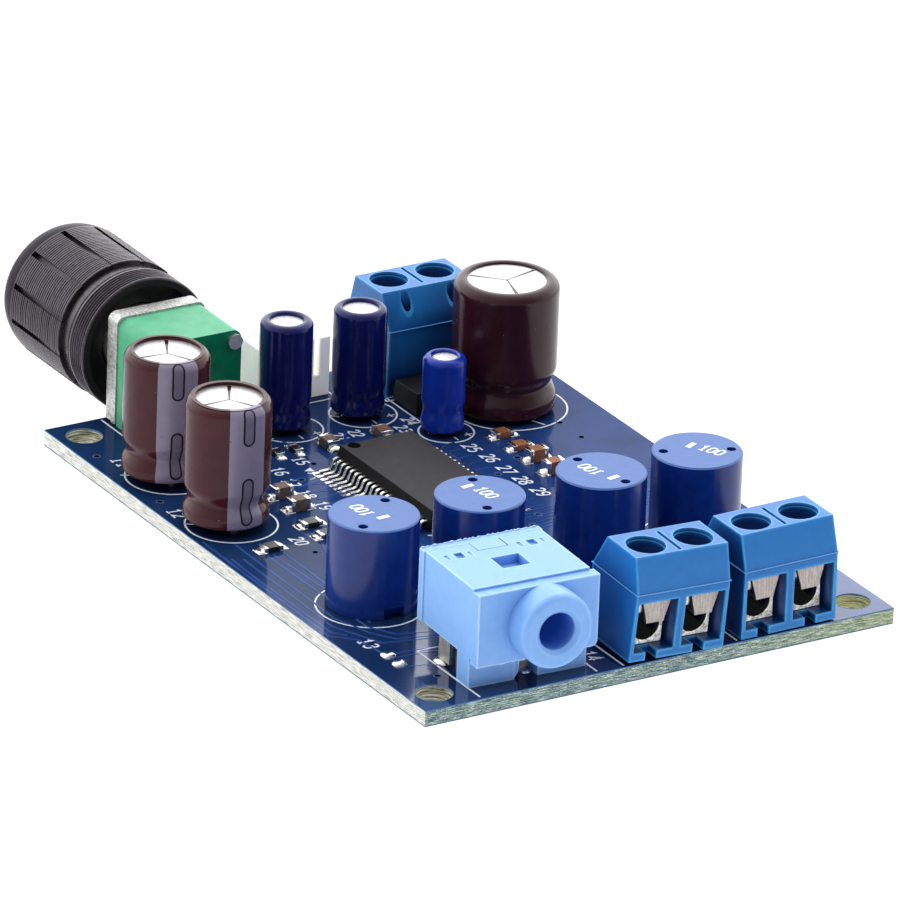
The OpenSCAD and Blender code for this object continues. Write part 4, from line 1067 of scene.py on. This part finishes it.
for x, y, r_ in ((4.94, 43.35, 4.32), (28.84, 59.89, 3.22), (33.78, 52.79, 2.64), (5.35, 55.40, 4.30), (42.1, 55.2, 5.6),
                 (20.8, 59.9, 3.2), (7.2, 22.0, 5.0), (18.65, 22.1, 5.0), (31.4, 21.6, 5.0), (41.8, 21.6, 5.0)):
    silk_line(circle_pts(x, y, r_), closed=True)
# socket, terminals, control, header, diode outlines
silk_line([(5.95, 0.35), (5.95, 11.41), (18.27, 11.41), (18.27, 0.35)])
silk_line([(21.1, 0.35), (21.1, 8.4), (31.6, 8.4), (31.6, 0.35)])
silk_line([(33.2, 0.35), (33.2, 8.4), (43.75, 8.4), (43.75, 0.35)])
silk_line([(5.93, 69.6), (5.93, 60.2), (16.2, 60.2), (16.2, 69.6)])
silk_line([(20.2, 69.7), (20.2, 64.33), (28.55, 64.33), (28.55, 69.7)])
silk_line([(32.75, 62.1), (32.75, 55.97), (36.9, 55.97), (36.9, 62.1), (32.75, 62.1)])
silk_line([(32.4, 69.7), (32.4, 61.4), (43.2, 61.4), (43.2, 69.7)])
# chip outline corners and the pin-one arc
silk_line([(19.95, 33.0), (20.6, 32.6), (28.4, 32.6), (28.9, 33.0)])
silk_line([(19.95, 50.8), (20.6, 51.0), (23.6, 51.0)])
silk_line([(25.4, 51.0), (28.9, 51.0)])
silk_line(circle_pts(16.75, 49.6, 0.75, -100, 60, 14), w=0.14)
silk.prism([(17.1, 50.75), (17.95, 50.25), (17.95, 51.2)], ZS0, ZS1)
# polarity strokes of the capacitors
for x0, y0, x1, y1 in ((1.2, 57.6, 2.6, 56.9), (0.95, 45.3, 2.1, 44.6), (20.8, 57.3, 20.8, 58.2), (28.84, 57.3, 28.84, 58.2), (33.78, 50.6, 33.78, 51.3),
                       (43.0, 50.0, 42.4, 51.4), (25.75, 60.9, 26.5, 60.3)):
    silk_line([(x0, y0), (x1, y1)], w=0.14)
for x, y in ((22.6, 57.9), (31.0, 58.4), (35.3, 51.3), (17.9, 58.6)):
    silk_line([(x - 0.4, y), (x + 0.4, y)], w=0.12)
    silk_line([(x, y - 0.4), (x, y + 0.4)], w=0.12)
# strokes of the plain digits
DIGITS = {
    "0": [[(0.1, 0.15), (0.1, 0.85), (0.25, 1), (0.45, 1), (0.6, 0.85), (0.6, 0.15), (0.45, 0), (0.25, 0), (0.1, 0.15)]],
    "1": [[(0.12, 0.78), (0.35, 1), (0.35, 0)], [(0.15, 0), (0.55, 0)]],
    "2": [[(0.1, 0.8), (0.22, 1), (0.48, 1), (0.6, 0.84), (0.58, 0.62), (0.1, 0), (0.62, 0)]],
    "3": [[(0.1, 0.9), (0.25, 1), (0.47, 1), (0.6, 0.85), (0.58, 0.62), (0.4, 0.54), (0.6, 0.42), (0.6, 0.15), (0.45, 0), (0.22, 0), (0.1, 0.12)]],
    "4": [[(0.48, 0), (0.48, 1), (0.08, 0.3), (0.66, 0.3)]],
    "5": [[(0.58, 1), (0.16, 1), (0.13, 0.58), (0.42, 0.6), (0.6, 0.44), (0.6, 0.16), (0.44, 0), (0.22, 0), (0.1, 0.12)]],
    "6": [[(0.55, 0.94), (0.36, 1), (0.18, 0.85), (0.1, 0.5), (0.1, 0.16), (0.24, 0), (0.46, 0), (0.6, 0.16), (0.6, 0.4), (0.46, 0.55), (0.24, 0.55), (0.1, 0.4)]],
    "7": [[(0.1, 1), (0.62, 1), (0.28, 0)]],
    "8": [[(0.35, 0.54), (0.14, 0.68), (0.14, 0.88), (0.28, 1), (0.44, 1), (0.57, 0.88), (0.57, 0.68), (0.35, 0.54), (0.1, 0.36), (0.1, 0.14),
           (0.25, 0), (0.46, 0), (0.61, 0.14), (0.61, 0.36), (0.35, 0.54)]],
    "9": [[(0.15, 0.06), (0.34, 0), (0.52, 0.15), (0.6, 0.5), (0.6, 0.84), (0.46, 1), (0.24, 1), (0.1, 0.84), (0.1, 0.6), (0.24, 0.45), (0.46, 0.45), (0.6, 0.6)]],
}


def number(mb, text, x, y, h=1.4, ang=-90, w=0.2, z0=ZS0, z1=ZS1, to=None, pitch=0.78, mi=0):
    """A plain number, read along ang, centred on x, y."""
    c_, s_ = math.cos(math.radians(ang)), math.sin(math.radians(ang))
    L = len(text) * pitch * h - (pitch - 0.7) * h
    for i, ch in enumerate(text):
        for line in DIGITS[ch]:
            pts = []
            for u, v in line:
                U = (u + i * pitch) * h - L / 2
                V = v * h - h / 2
                U += 0.12 * V
                pts.append((x + U * c_ - V * s_, y + U * s_ + V * c_))
            mb.strip(pts, w, z0, z1, to=to, mi=mi)


for i, (x, y, h) in enumerate(((2.76, 60.1, 1.5), (1.6, 47.6, 1.4), (2.75, 14.7, 1.4), (19.56, 3.4, 1.4), (17.94, 52.9, 1.2), (14.93, 51.7, 1.3),
                               (14.6, 48.95, 1.3), (14.6, 46.0, 1.3), (14.68, 43.06, 1.3), (8.6, 37.15, 1.3), (24.05, 56.2, 1.3), (25.9, 56.2, 1.2),
                               (30.46, 55.1, 1.2), (31.99, 56.4, 1.2), (34.0, 48.4, 1.35), (34.3, 45.6, 1.35), (34.3, 42.6, 1.35),
                               (34.4, 39.8, 1.35), (34.5, 36.8, 1.35))):
    number(silk, str(11 + i), x, y, h * 0.93, w=0.17)
silk.obj("board_print", ["silk"], slot="board_mask")

traces = MB()
TZ0, TZ1 = -0.03, 0.03


def trace(pts, w=0.28):
    traces.strip(pts, w, TZ0, TZ1, slope=0.045)


for pts in (
    [(0.55, 41.0), (0.45, 32.0), (0.45, 17.8), (2.4, 15.9), (2.9, 12.6)],
    [(1.0, 36.5), (0.85, 30.0), (1.05, 18.4), (2.0, 17.2)],
    [(2.0, 36.0), (1.9, 31.6), (1.8, 19.5), (4.0, 14.4), (5.7, 13.9), (10.2, 13.1)],
    [(2.95, 39.2), (2.85, 33.0), (2.85, 21.0), (4.2, 16.6), (5.69, 14.5), (9.5, 13.7)],
    [(4.3, 35.4), (4.45, 26.0), (4.6, 17.9), (6.2, 15.4), (9.2, 14.6)],
    [(4.95, 35.6), (5.3, 27.0), (5.3, 18.6)],
    [(6.0, 35.8), (6.0, 30.0), (5.9, 26.6)],
    [(4.0, 11.85), (6.3, 11.75), (8.4, 11.45), (12.0, 11.0)],
    [(3.6, 11.0), (6.2, 10.9), (9.0, 10.4)],
    [(3.6, 8.9), (5.1, 8.65), (5.7, 8.05), (6.3, 7.9)],
    [(9.8, 38.7), (9.85, 37.3)], [(10.3, 36.0), (9.75, 34.5), (9.0, 32.0), (9.0, 28.5)],
    [(11.5, 35.9), (10.9, 33.5), (10.9, 28.3)], [(12.6, 35.6), (12.3, 33.0), (12.3, 28.0)],
    [(13.6, 36.8), (13.6, 29.0), (14.6, 27.2)], [(14.4, 38.2), (14.4, 31.0), (15.6, 28.0)],
):
    trace(pts, 0.30)
# fan-out from the chip's two rows of leads
for i in range(21):
    y = 41.85 + (i - 10) * 0.8
    dx = 1.0 + 0.9 * abs(math.sin(i * 1.7)) + (0.5 if i % 3 else 1.4)
    y2 = y + (0.35 if i % 2 else -0.3)
    trace([(18.2, y), (18.2 - 0.5, y), (18.2 - dx, y2), (18.2 - dx - 0.9 - 0.6 * (i % 2), y2)], 0.26)
    if i % 2 == 0:
        trace([(30.8, y), (31.4, y), (31.8 + 0.3 * (i % 3), y + 0.4), (33.2, y + 0.4)], 0.26)
for i in range(7):
    y = 33.6 - i * 0.62
    trace([(30.9 - 0.3 * i, y), (36.5 - 0.2 * i, y), (38.2, y - 1.1), (45.5, y - 1.1)], 0.26)
for i in range(5):
    trace([(24.8 + 0.62 * i, 32.2), (24.8 + 0.62 * i, 27.6 - 0.2 * i)], 0.26)
for i in range(4):
    trace([(36.2, 38.3 - 0.55 * i), (40.0, 38.3 - 0.55 * i), (41.4, 37.0 - 0.55 * i), (47.8, 37.0 - 0.55 * i)], 0.24)
for pts in ([(12.2, 47.5), (12.2, 50.5), (14.2, 53.9)], [(9.6, 47.2), (9.6, 52.0), (11.0, 58.6)],
            [(18.8, 56.4), (18.8, 57.8)], [(24.0, 52.4), (24.0, 55.0), (25.4, 57.2)]):
    trace(pts, 0.4)
traces.obj("board_traces", ["trace"], slot="board_mask", smooth=None)

vias, viah = MB(), MB()
VIAS = [(4.84, 6.0), (1.36, 62.37), (1.51, 50.66), (8.68, 34.37), (36.66, 44.59), (33.04, 42.15), (44.54, 49.84), (18.73, 51.85),
        (15.87, 49.17), (46.6, 34.2), (35.6, 33.0), (12.8, 40.6), (16.0, 40.9), (9.0, 49.6), (29.9, 30.6), (37.4, 33.8), (26.2, 27.2),
        (13.0, 31.0), (46.2, 10.8), (20.0, 13.6), (32.6, 12.4), (44.6, 46.0), (31.6, 32.5)]
for x, y in VIAS:
    c24 = [2 * math.pi * i / 24 for i in range(24)]
    vias.revolve([(0.28, -0.03), (0.28, 0.015), (0.32, 0.03), (0.38, 0.025), (0.44, -0.03), (0.28, -0.03)], x, y, 0.0, c24)
    # near-black disc over each via: painted shade of the hole
    viah.revolve([(0.0, -0.02), (0.0, 0.014), (0.29, 0.014), (0.29, -0.02), (0.0, -0.02)], x, y, 0.0, c24)
vias.obj("board_vias", ["via_ring"], slot="board_mask", smooth=40)
viah.obj("board_via_hole_shade", ["via"], slot="board_mask")
rings = MB()
for x in (2.65, 47.35):
    for y in (2.95, 67.05):
        c96 = [2 * math.pi * i / 96 for i in range(96)]
        rings.revolve([(1.70, -0.12), (1.70, 0.012), (1.78, 0.012), (1.78, -0.02), (1.70, -0.12)], x, y, 0.0, c96)
rings.obj("board_hole_rims", ["rim"], slot="board_mask", smooth=40)

# ------------------------------------------------------------------ solder and pads on the top side
sold = MB()
for (x, y, rx, ry) in ((3.13, 11.79, 0.50, 0.62), (3.14, 9.76, 0.50, 0.62)):
    sold.blob(x, y, rx * 1.25, ry * 1.05, 0.30, seed=int(y * 10), wob=0.12)
CAPC = [(37.00, 48.98, 2.0, 1.25, 0.6), (37.00, 45.78, 2.0, 1.25, 0.6), (37.00, 42.78, 2.0, 1.25, 1.25), (37.00, 39.68, 2.0, 1.25, 1.25),
        (11.20, 46.00, 2.0, 1.25, 1.2), (11.20, 42.88, 2.0, 1.25, 1.2), (21.50, 53.80, 1.25, 2.0, 0.9), (27.28, 53.70, 1.25, 2.0, 0.85)]
RESC = [(10.40, 39.24, 2.0, 1.25, 0.5), (10.55, 36.44, 2.0, 1.25, 0.5), (4.32, 36.08, 2.0, 1.25, 0.5),
        (16.32, 54.52, 0.85, 1.6, 0.45), (18.36, 54.52, 0.85, 1.6, 0.45)]
for i, (x, y, w, d, h) in enumerate(CAPC + RESC):
    hh = min(0.5, h * 0.6)
    if w > d:
        for s_ in (-1, 1):
            cx = x + w / 2 + s_ * (w / 2 + 0.12)
            sold.blob(cx, y + d / 2, 0.46, d / 2 + 0.04, hh, seed=i * 2 + s_, wob=0.06, power=1.5)
            sold.prism([(cx - 0.5, y - 0.04), (cx + 0.48, y - 0.04), (cx + 0.48, y + d + 0.04), (cx - 0.5, y + d + 0.04)] if s_ > 0 else
                       [(cx - 0.48, y - 0.04), (cx + 0.5, y - 0.04), (cx + 0.5, y + d + 0.04), (cx - 0.48, y + d + 0.04)], -0.02, 0.05, inset=0.05)
    else:
        for s_ in (-1, 1):
            cy = y + d / 2 + s_ * (d / 2 + 0.12)
            sold.blob(x + w / 2, cy, w / 2 + 0.08, 0.55, hh, seed=i * 2 + s_, wob=0.06, power=1.5)
# the chip's pads with their toe fillets
for i in range(21):
    y = 41.85 + (i - 10) * 0.8
    for s_ in (-1, 1):
        xt = 24.5 + s_ * (4.1 + 2.25)
        sold.prism(sorted([(xt - s_ * 1.3, y - 0.22), (xt + s_ * 0.75, y - 0.22), (xt + s_ * 0.75, y + 0.22), (xt - s_ * 1.3, y + 0.22)],
                          key=lambda p: math.atan2(p[1] - y, p[0] - (xt - s_ * 0.27))), -0.02, 0.045, inset=0.04)
        sold.blob(xt - s_ * 0.1, y, 0.42, 0.17, 0.14, seed=i, wob=0.05, power=2.0, seg=12, rings=3)
# joints round the socket's side pins on the top
for (x, y, r_) in ((0.69, 6.36, 0.95), (11.25, 6.36, 0.95), (6.46, 1.80, 0.8)):
    q = SOCK(x, y, 0)
    sold.blob(q[0], q[1], r_ * 0.75, r_ * 0.95, 0.42, seed=5, wob=0.06, power=1.3)
for x, y, r_ in ((4.73, 53.85, 0.7), (4.73, 57.35, 0.7), (4.51, 41.96, 0.7), (4.51, 45.46, 0.7), (39.07, 55.5, 0.8), (44.07, 55.5, 0.8),
                 (19.41, 60.35, 0.6), (21.41, 60.35, 0.6), (27.32, 60.08, 0.6), (29.32, 60.08, 0.6), (32.67, 52.97, 0.6), (34.17, 52.97, 0.6)):
    sold.blob(x, y, r_, r_, 0.12, seed=int(x), wob=0.03, power=1.4, seg=18, rings=3)
sold.obj("board_top_solder", ["solder"], slot="solder", smooth=50)


# ------------------------------------------------------------------ chip leads
def lead_path():
    """Centre line of one gull-wing lead: out from the body, down and out along the board."""
    pts = [(0.0, 1.12), (0.45, 1.13)]
    pts += [(0.45 + 0.42 * math.sin(math.radians(t)), 0.71 + 0.42 * math.cos(math.radians(t))) for t in range(10, 81, 14)]
    pts += [(0.95, 0.52)]
    pts += [(1.42 - 0.42 * math.sin(math.radians(t)), 0.50 - 0.40 * math.cos(math.radians(t))) for t in range(76, -1, -15)]
    pts += [(1.9, 0.10), (2.25, 0.10)]
    return pts


leads = MB()
path = lead_path()
for i in range(21):
    y = 41.85 + (i - 10) * 0.8
    for s_ in (-1, 1):
        rows = []
        n = len(path)
        for k in range(n):
            a_ = Vector(path[max(0, k - 1)])
            b_ = Vector(path[min(n - 1, k + 1)])
            t = (b_ - a_).normalized()
            nr = Vector((-t.y, t.x)) * 0.085
            c_ = Vector(path[k])
            hw_, ch = 0.17, 0.04
            sec = [(-hw_ + ch, 1), (hw_ - ch, 1), (hw_, 0.5), (hw_, -0.5), (hw_ - ch, -1), (-hw_ + ch, -1), (-hw_, -0.5), (-hw_, 0.5)]
            rows.append([(24.5 + s_ * (4.06 + c_.x + nr.x * q[1]), y + q[0], c_.y + nr.y * q[1]) for q in sec])
        vs = [p for r_ in rows for p in r_]
        m_ = 8
        fs = []
        for k in range(n - 1):
            for j in range(m_):
                fs.append((k * m_ + j, k * m_ + (j + 1) % m_, (k + 1) * m_ + (j + 1) % m_, (k + 1) * m_ + j))
        fs += [tuple(range(m_)), tuple(range((n - 1) * m_, n * m_))[::-1]]
        leads.add(vs, fs)
leads.obj("amplifier_chip_leads_look", ["lead"], smooth=40, replaces=["amplifier_chip_leads"])

# ------------------------------------------------------------------ terminals
flash = MB()
for node, to in TERM.items():
    refine(node, 0.10, 3)
    loop = [(0.08, -0.02), (10.08, -0.02), (10.08, 7.72), (0.08, 7.72)]
    fine = []
    for i in range(4):
        a_, b_ = Vector(loop[i]), Vector(loop[(i + 1) % 4])
        for k in range(24):
            p = a_.lerp(b_, k / 24)
            fine.append((p.x, p.y))
    rr = random.Random(3)
    w_ = 0.16
    flash.strip(fine, w_, 6.70, 6.77, closed=True, to=to)
flash.obj("terminal_flash", ["flash"], smooth=50, slot="terminal_blue")
for n_ in list(NODES):
    if n_.endswith("_clamp_leaf"):
        refine(n_, 0.09, 2)
refine("terminal_wire_cages", 0.07, 2)

# ------------------------------------------------------------------ socket
refine("jack_housing", 0.12, 3)
refine("jack_rear_cover", 0.10, 3)
jf = MB()
rr = random.Random(11)


def ragged(p0, p1, n, w0, w1, h0, h1, to, axis="z"):
    """A thin torn fin of moulding flash between two points."""
    rows_o, rows_i = [], []
    for i in range(n + 1):
        t = i / n
        q = [p0[k] + (p1[k] - p0[k]) * t for k in range(3)]
        hh = rr.uniform(h0, h1) * (1 if 0 < i < n else 0.2)
        ww = rr.uniform(w0, w1)
        if axis == "z":
            rows_o.append([to(q[0], q[1] + ww, q[2] + hh), to(q[0], q[1] + ww, q[2] - 0.1)])
            rows_i.append([to(q[0], q[1] - 0.05, q[2] + hh * 0.8), to(q[0], q[1] - 0.05, q[2] - 0.1)])
        else:
            rows_o.append([to(q[0], q[1] - hh, q[2] + ww), to(q[0], q[1] + 0.1, q[2] + ww)])
            rows_i.append([to(q[0], q[1] - hh * 0.8, q[2] - 0.05), to(q[0], q[1] + 0.1, q[2] - 0.05)])
    jf.slab(rows_o, rows_i)


def fin(p0, p1, out, side, n, h0, h1, w):
    """A thin torn fin from p0 to p1 in the socket's own frame, standing out along out, w thick along side."""
    rows_o, rows_i = [], []
    for i in range(n + 1):
        t = i / n
        q = [p0[k] + (p1[k] - p0[k]) * t for k in range(3)]
        hh = rr.uniform(h0, h1) * (1 if 0 < i < n else 0.3)
        a_ = [q[k] - 0.1 * out[k] for k in range(3)]
        b_ = [q[k] + hh * out[k] for k in range(3)]
        rows_o.append([SOCK(*[a_[k] + side[k] * w / 2 for k in range(3)]), SOCK(*[b_[k] + side[k] * w / 4 for k in range(3)])])
        rows_i.append([SOCK(*[a_[k] - side[k] * w / 2 for k in range(3)]), SOCK(*[b_[k] - side[k] * w / 4 for k in range(3)])])
    jf.slab(rows_o, rows_i)


ragged((-0.05, 9.9, 9.93), (12.0, 9.9, 9.93), 70, 0.01, 0.06, 0.02, 0.16, SOCK)
ragged((0.0, 9.05, 9.93), (4.4, 9.05, 9.93), 30, 0.0, 0.03, 0.0, 0.05, SOCK)
# raised floors in the top's recesses, the deeper ones in a darker blue as painted shade
for x0 in (0.9, 8.35):
    for (xa, ya, xb, yb, zf) in ((x0, 6.55, x0 + 0.4, 7.5, 9.74), (x0 + 1.05, 6.45, x0 + 1.9, 7.6, 9.62), (x0 + 2.4, 6.6, x0 + 2.7, 7.45, 9.76)):
        jf.prism([(xa - 0.05, ya - 0.05), (xb + 0.05, ya - 0.05), (xb + 0.05, yb + 0.05), (xa - 0.05, yb + 0.05)], 9.1, zf + 0.09,
                 mi=2 if zf < 9.7 else 1, to=SOCK)
jf.obj("socket_flash", ["jack", "jack_floor", "jack_floor_deep_shade"], slot="jack_blue", smooth=None)
jf = MB()
# dark lines round the tongue and along the rear cover's seam: painted shadow at these steps
jf.strip([(4.40, 9.06), (4.40, 7.25), (7.52, 7.25), (7.52, 9.06)], 0.10, 9.85, 9.938, to=SOCK)
jf.strip([(0.1, 9.12), (4.3, 9.12)], 0.06, 9.85, 9.938, to=SOCK)
jf.strip([(7.6, 9.12), (11.8, 9.12)], 0.06, 9.85, 9.938, to=SOCK)
jf.obj("socket_seam_shadow_lines", ["jack_line"], slot="jack_blue", smooth=None)
jf = MB()
# pale fins along the flange, foot and body edges: painted highlight on these edges
fin((0.06, -1.18, 2.55), (0.06, -1.18, 9.6), (0, -1, 0), (1, 0, 0), 40, 0.03, 0.09, 0.10)
fin((0.05, -1.10, 2.62), (5.1, -1.10, 2.62), (0, 0, -1), (0, 1, 0), 34, 0.02, 0.14, 0.08)
fin((0.1, -1.12, 9.68), (12.1, -1.12, 9.68), (0, -0.2, 1), (0, 1, 0), 60, 0.0, 0.05, 0.10)
fin((12.28, -1.1, 3.1), (12.28, -1.1, 9.6), (0.7, -0.7, 0), (0.7, 0.7, 0), 40, 0.01, 0.08, 0.08)
fin((0.04, 0.36, 0.15), (0.04, 0.36, 2.5), (-0.7, -0.7, 0), (0.7, -0.7, 0), 12, 0.0, 0.04, 0.07)
fin((-0.1, 9.9, 3.1), (-0.1, 9.9, 9.8), (-1, 0, 0), (0, 1, 0), 40, 0.0, 0.06, 0.09)
jf.obj("socket_highlight_fins", ["jack_edge_highlight_fin"], slot="jack_blue", smooth=None)

# ------------------------------------------------------------------ the rest, softly rounded
refine("pot_bushing_plate", 0.22, 3)
refine("pot_housing", 0.16, 3)
refine("header_housing", 0.10, 2)
refine("amplifier_chip_body", 0.07, 2)
refine("diode_body", 0.07, 2)
refine("diode_tabs", 0.03, 2)
refine("chip_capacitor_bodies", 0.05, 2)
refine("chip_capacitor_end_caps", 0.06, 2)
refine("chip_resistor_bodies", 0.03, 2)
refine("chip_resistor_end_caps", 0.05, 2)
for i in range(4):
    refine("output_inductor_%d" % (i + 1), 0.07, 2, angle=28)

marks = MB()
dimple = MB()
dimple.revolve([(0.0, 2.204), (0.45, 2.205), (0.56, 2.209), (0.61, 2.209), (0.63, 2.203), (0.63, 2.1), (0.0, 2.1)], 21.74, 49.6, 0.0,
               [2 * math.pi * i / 40 for i in range(40)])
dimple.obj("chip_pin_one_mark", ["chip_mark"], slot="chip_black", smooth=40)
for i, (x, y, a_, nx_, ny_, bx_, by_) in enumerate((
        (7.70, 22.60, 93, -0.68, 1.09, 0.29, -1.14), (18.65, 22.10, -84, 0.6, -0.13, -0.17, 1.92),
        (31.40, 21.60, 100, -0.79, 0.66, 0.16, -1.86), (41.80, 21.60, -64, 1.19, -0.67, 0.05, 1.22))):
    # a plain number on each inductor's top, and the short bar before it
    c_, s_ = math.cos(math.radians(a_)), math.sin(math.radians(a_))
    number(marks, "100", x + nx_, y + ny_, 1.15, a_, 0.2, 8.83, 8.862, pitch=0.74)
    q = [(x + bx_ + u * c_ - v * s_, y + by_ + u * s_ + v * c_) for u, v in ((-0.27, -0.62), (0.27, -0.62), (0.27, 0.62), (-0.27, 0.62))]
    marks.prism(q, 8.83, 8.862)
marks.obj("inductor_print", ["silk"], slot="coil_blue")


# ------------------------------------------------------------------ world, lights, floor
world = bpy.data.worlds.new("studio")
bpy.context.scene.world = world
world.use_nodes = True
wt = world.node_tree
bg = wt.nodes["Background"]


def wnode(kind, **kw):
    n = wt.nodes.new(kind)
    for k, v in kw.items():
        setattr(n, k, v)
    return n


tcw = wnode("ShaderNodeTexCoord")


def along(vec, stops):
    """Brightness of the surroundings by direction along vec."""
    d = wnode("ShaderNodeVectorMath", operation="DOT_PRODUCT")
    wt.links.new(tcw.outputs["Generated"], d.inputs[0])
    d.inputs[1].default_value = vec
    mr = wnode("ShaderNodeMath", operation="MULTIPLY_ADD")
    wt.links.new(d.outputs["Value"], mr.inputs[0])
    mr.inputs[1].default_value = 0.5
    mr.inputs[2].default_value = 0.5
    r_ = wnode("ShaderNodeValToRGB")
    wt.links.new(mr.outputs[0], r_.inputs[0])
    r_.color_ramp.interpolation = "B_SPLINE"
    e = r_.color_ramp.elements
    while len(e) < len(stops):
        e.new(0.5)
    for k, (p, v) in enumerate(stops):
        e[k].position = (p + 1) / 2
        e[k].color = (v / 3, v / 3, v / 3, 1)
    return r_.outputs[0]


front_back = along((0.52, 0.85, 0.0), [(-1, 0.25), (-0.4, 0.42), (0.0, 1.45), (0.5, 2.35), (1, 2.7)])
left_right = along((-0.95, 0.10, 0.25), [(-1, 0.0), (0.2, 0.0), (1, 0.7)])
ad = wnode("ShaderNodeVectorMath", operation="ADD")
wt.links.new(front_back, ad.inputs[0])
wt.links.new(left_right, ad.inputs[1])
wt.links.new(ad.outputs[0], bg.inputs[0])
bg.inputs[1].default_value = 3.0

fm = bpy.data.meshes.new("floor")
fm.from_pydata([(-8, -8, -0.0016), (8, -8, -0.0016), (8, 8, -0.0016), (-8, 8, -0.0016)], [], [(0, 1, 2, 3)])
floor = bpy.data.objects.new("floor", fm)
bpy.context.scene.collection.objects.link(floor)
F = Mat("floor_paper")
F.set(Base_Color=F.ramp(F.noise(0.02, 2, 0.5), [(0.0, (0.19, 0.19, 0.20)), (1.0, (0.21, 0.21, 0.22))]), Roughness=0.9)
F.b.inputs["Emission Color"].default_value = (1, 1, 1, 1)
F.b.inputs["Emission Strength"].default_value = 1.02
F.b.inputs["Specular IOR Level"].default_value = 0.1
fm.materials.append(F.m)

bpy.context.scene.view_settings.view_transform = "Standard"
bpy.context.scene.view_settings.look = "None"
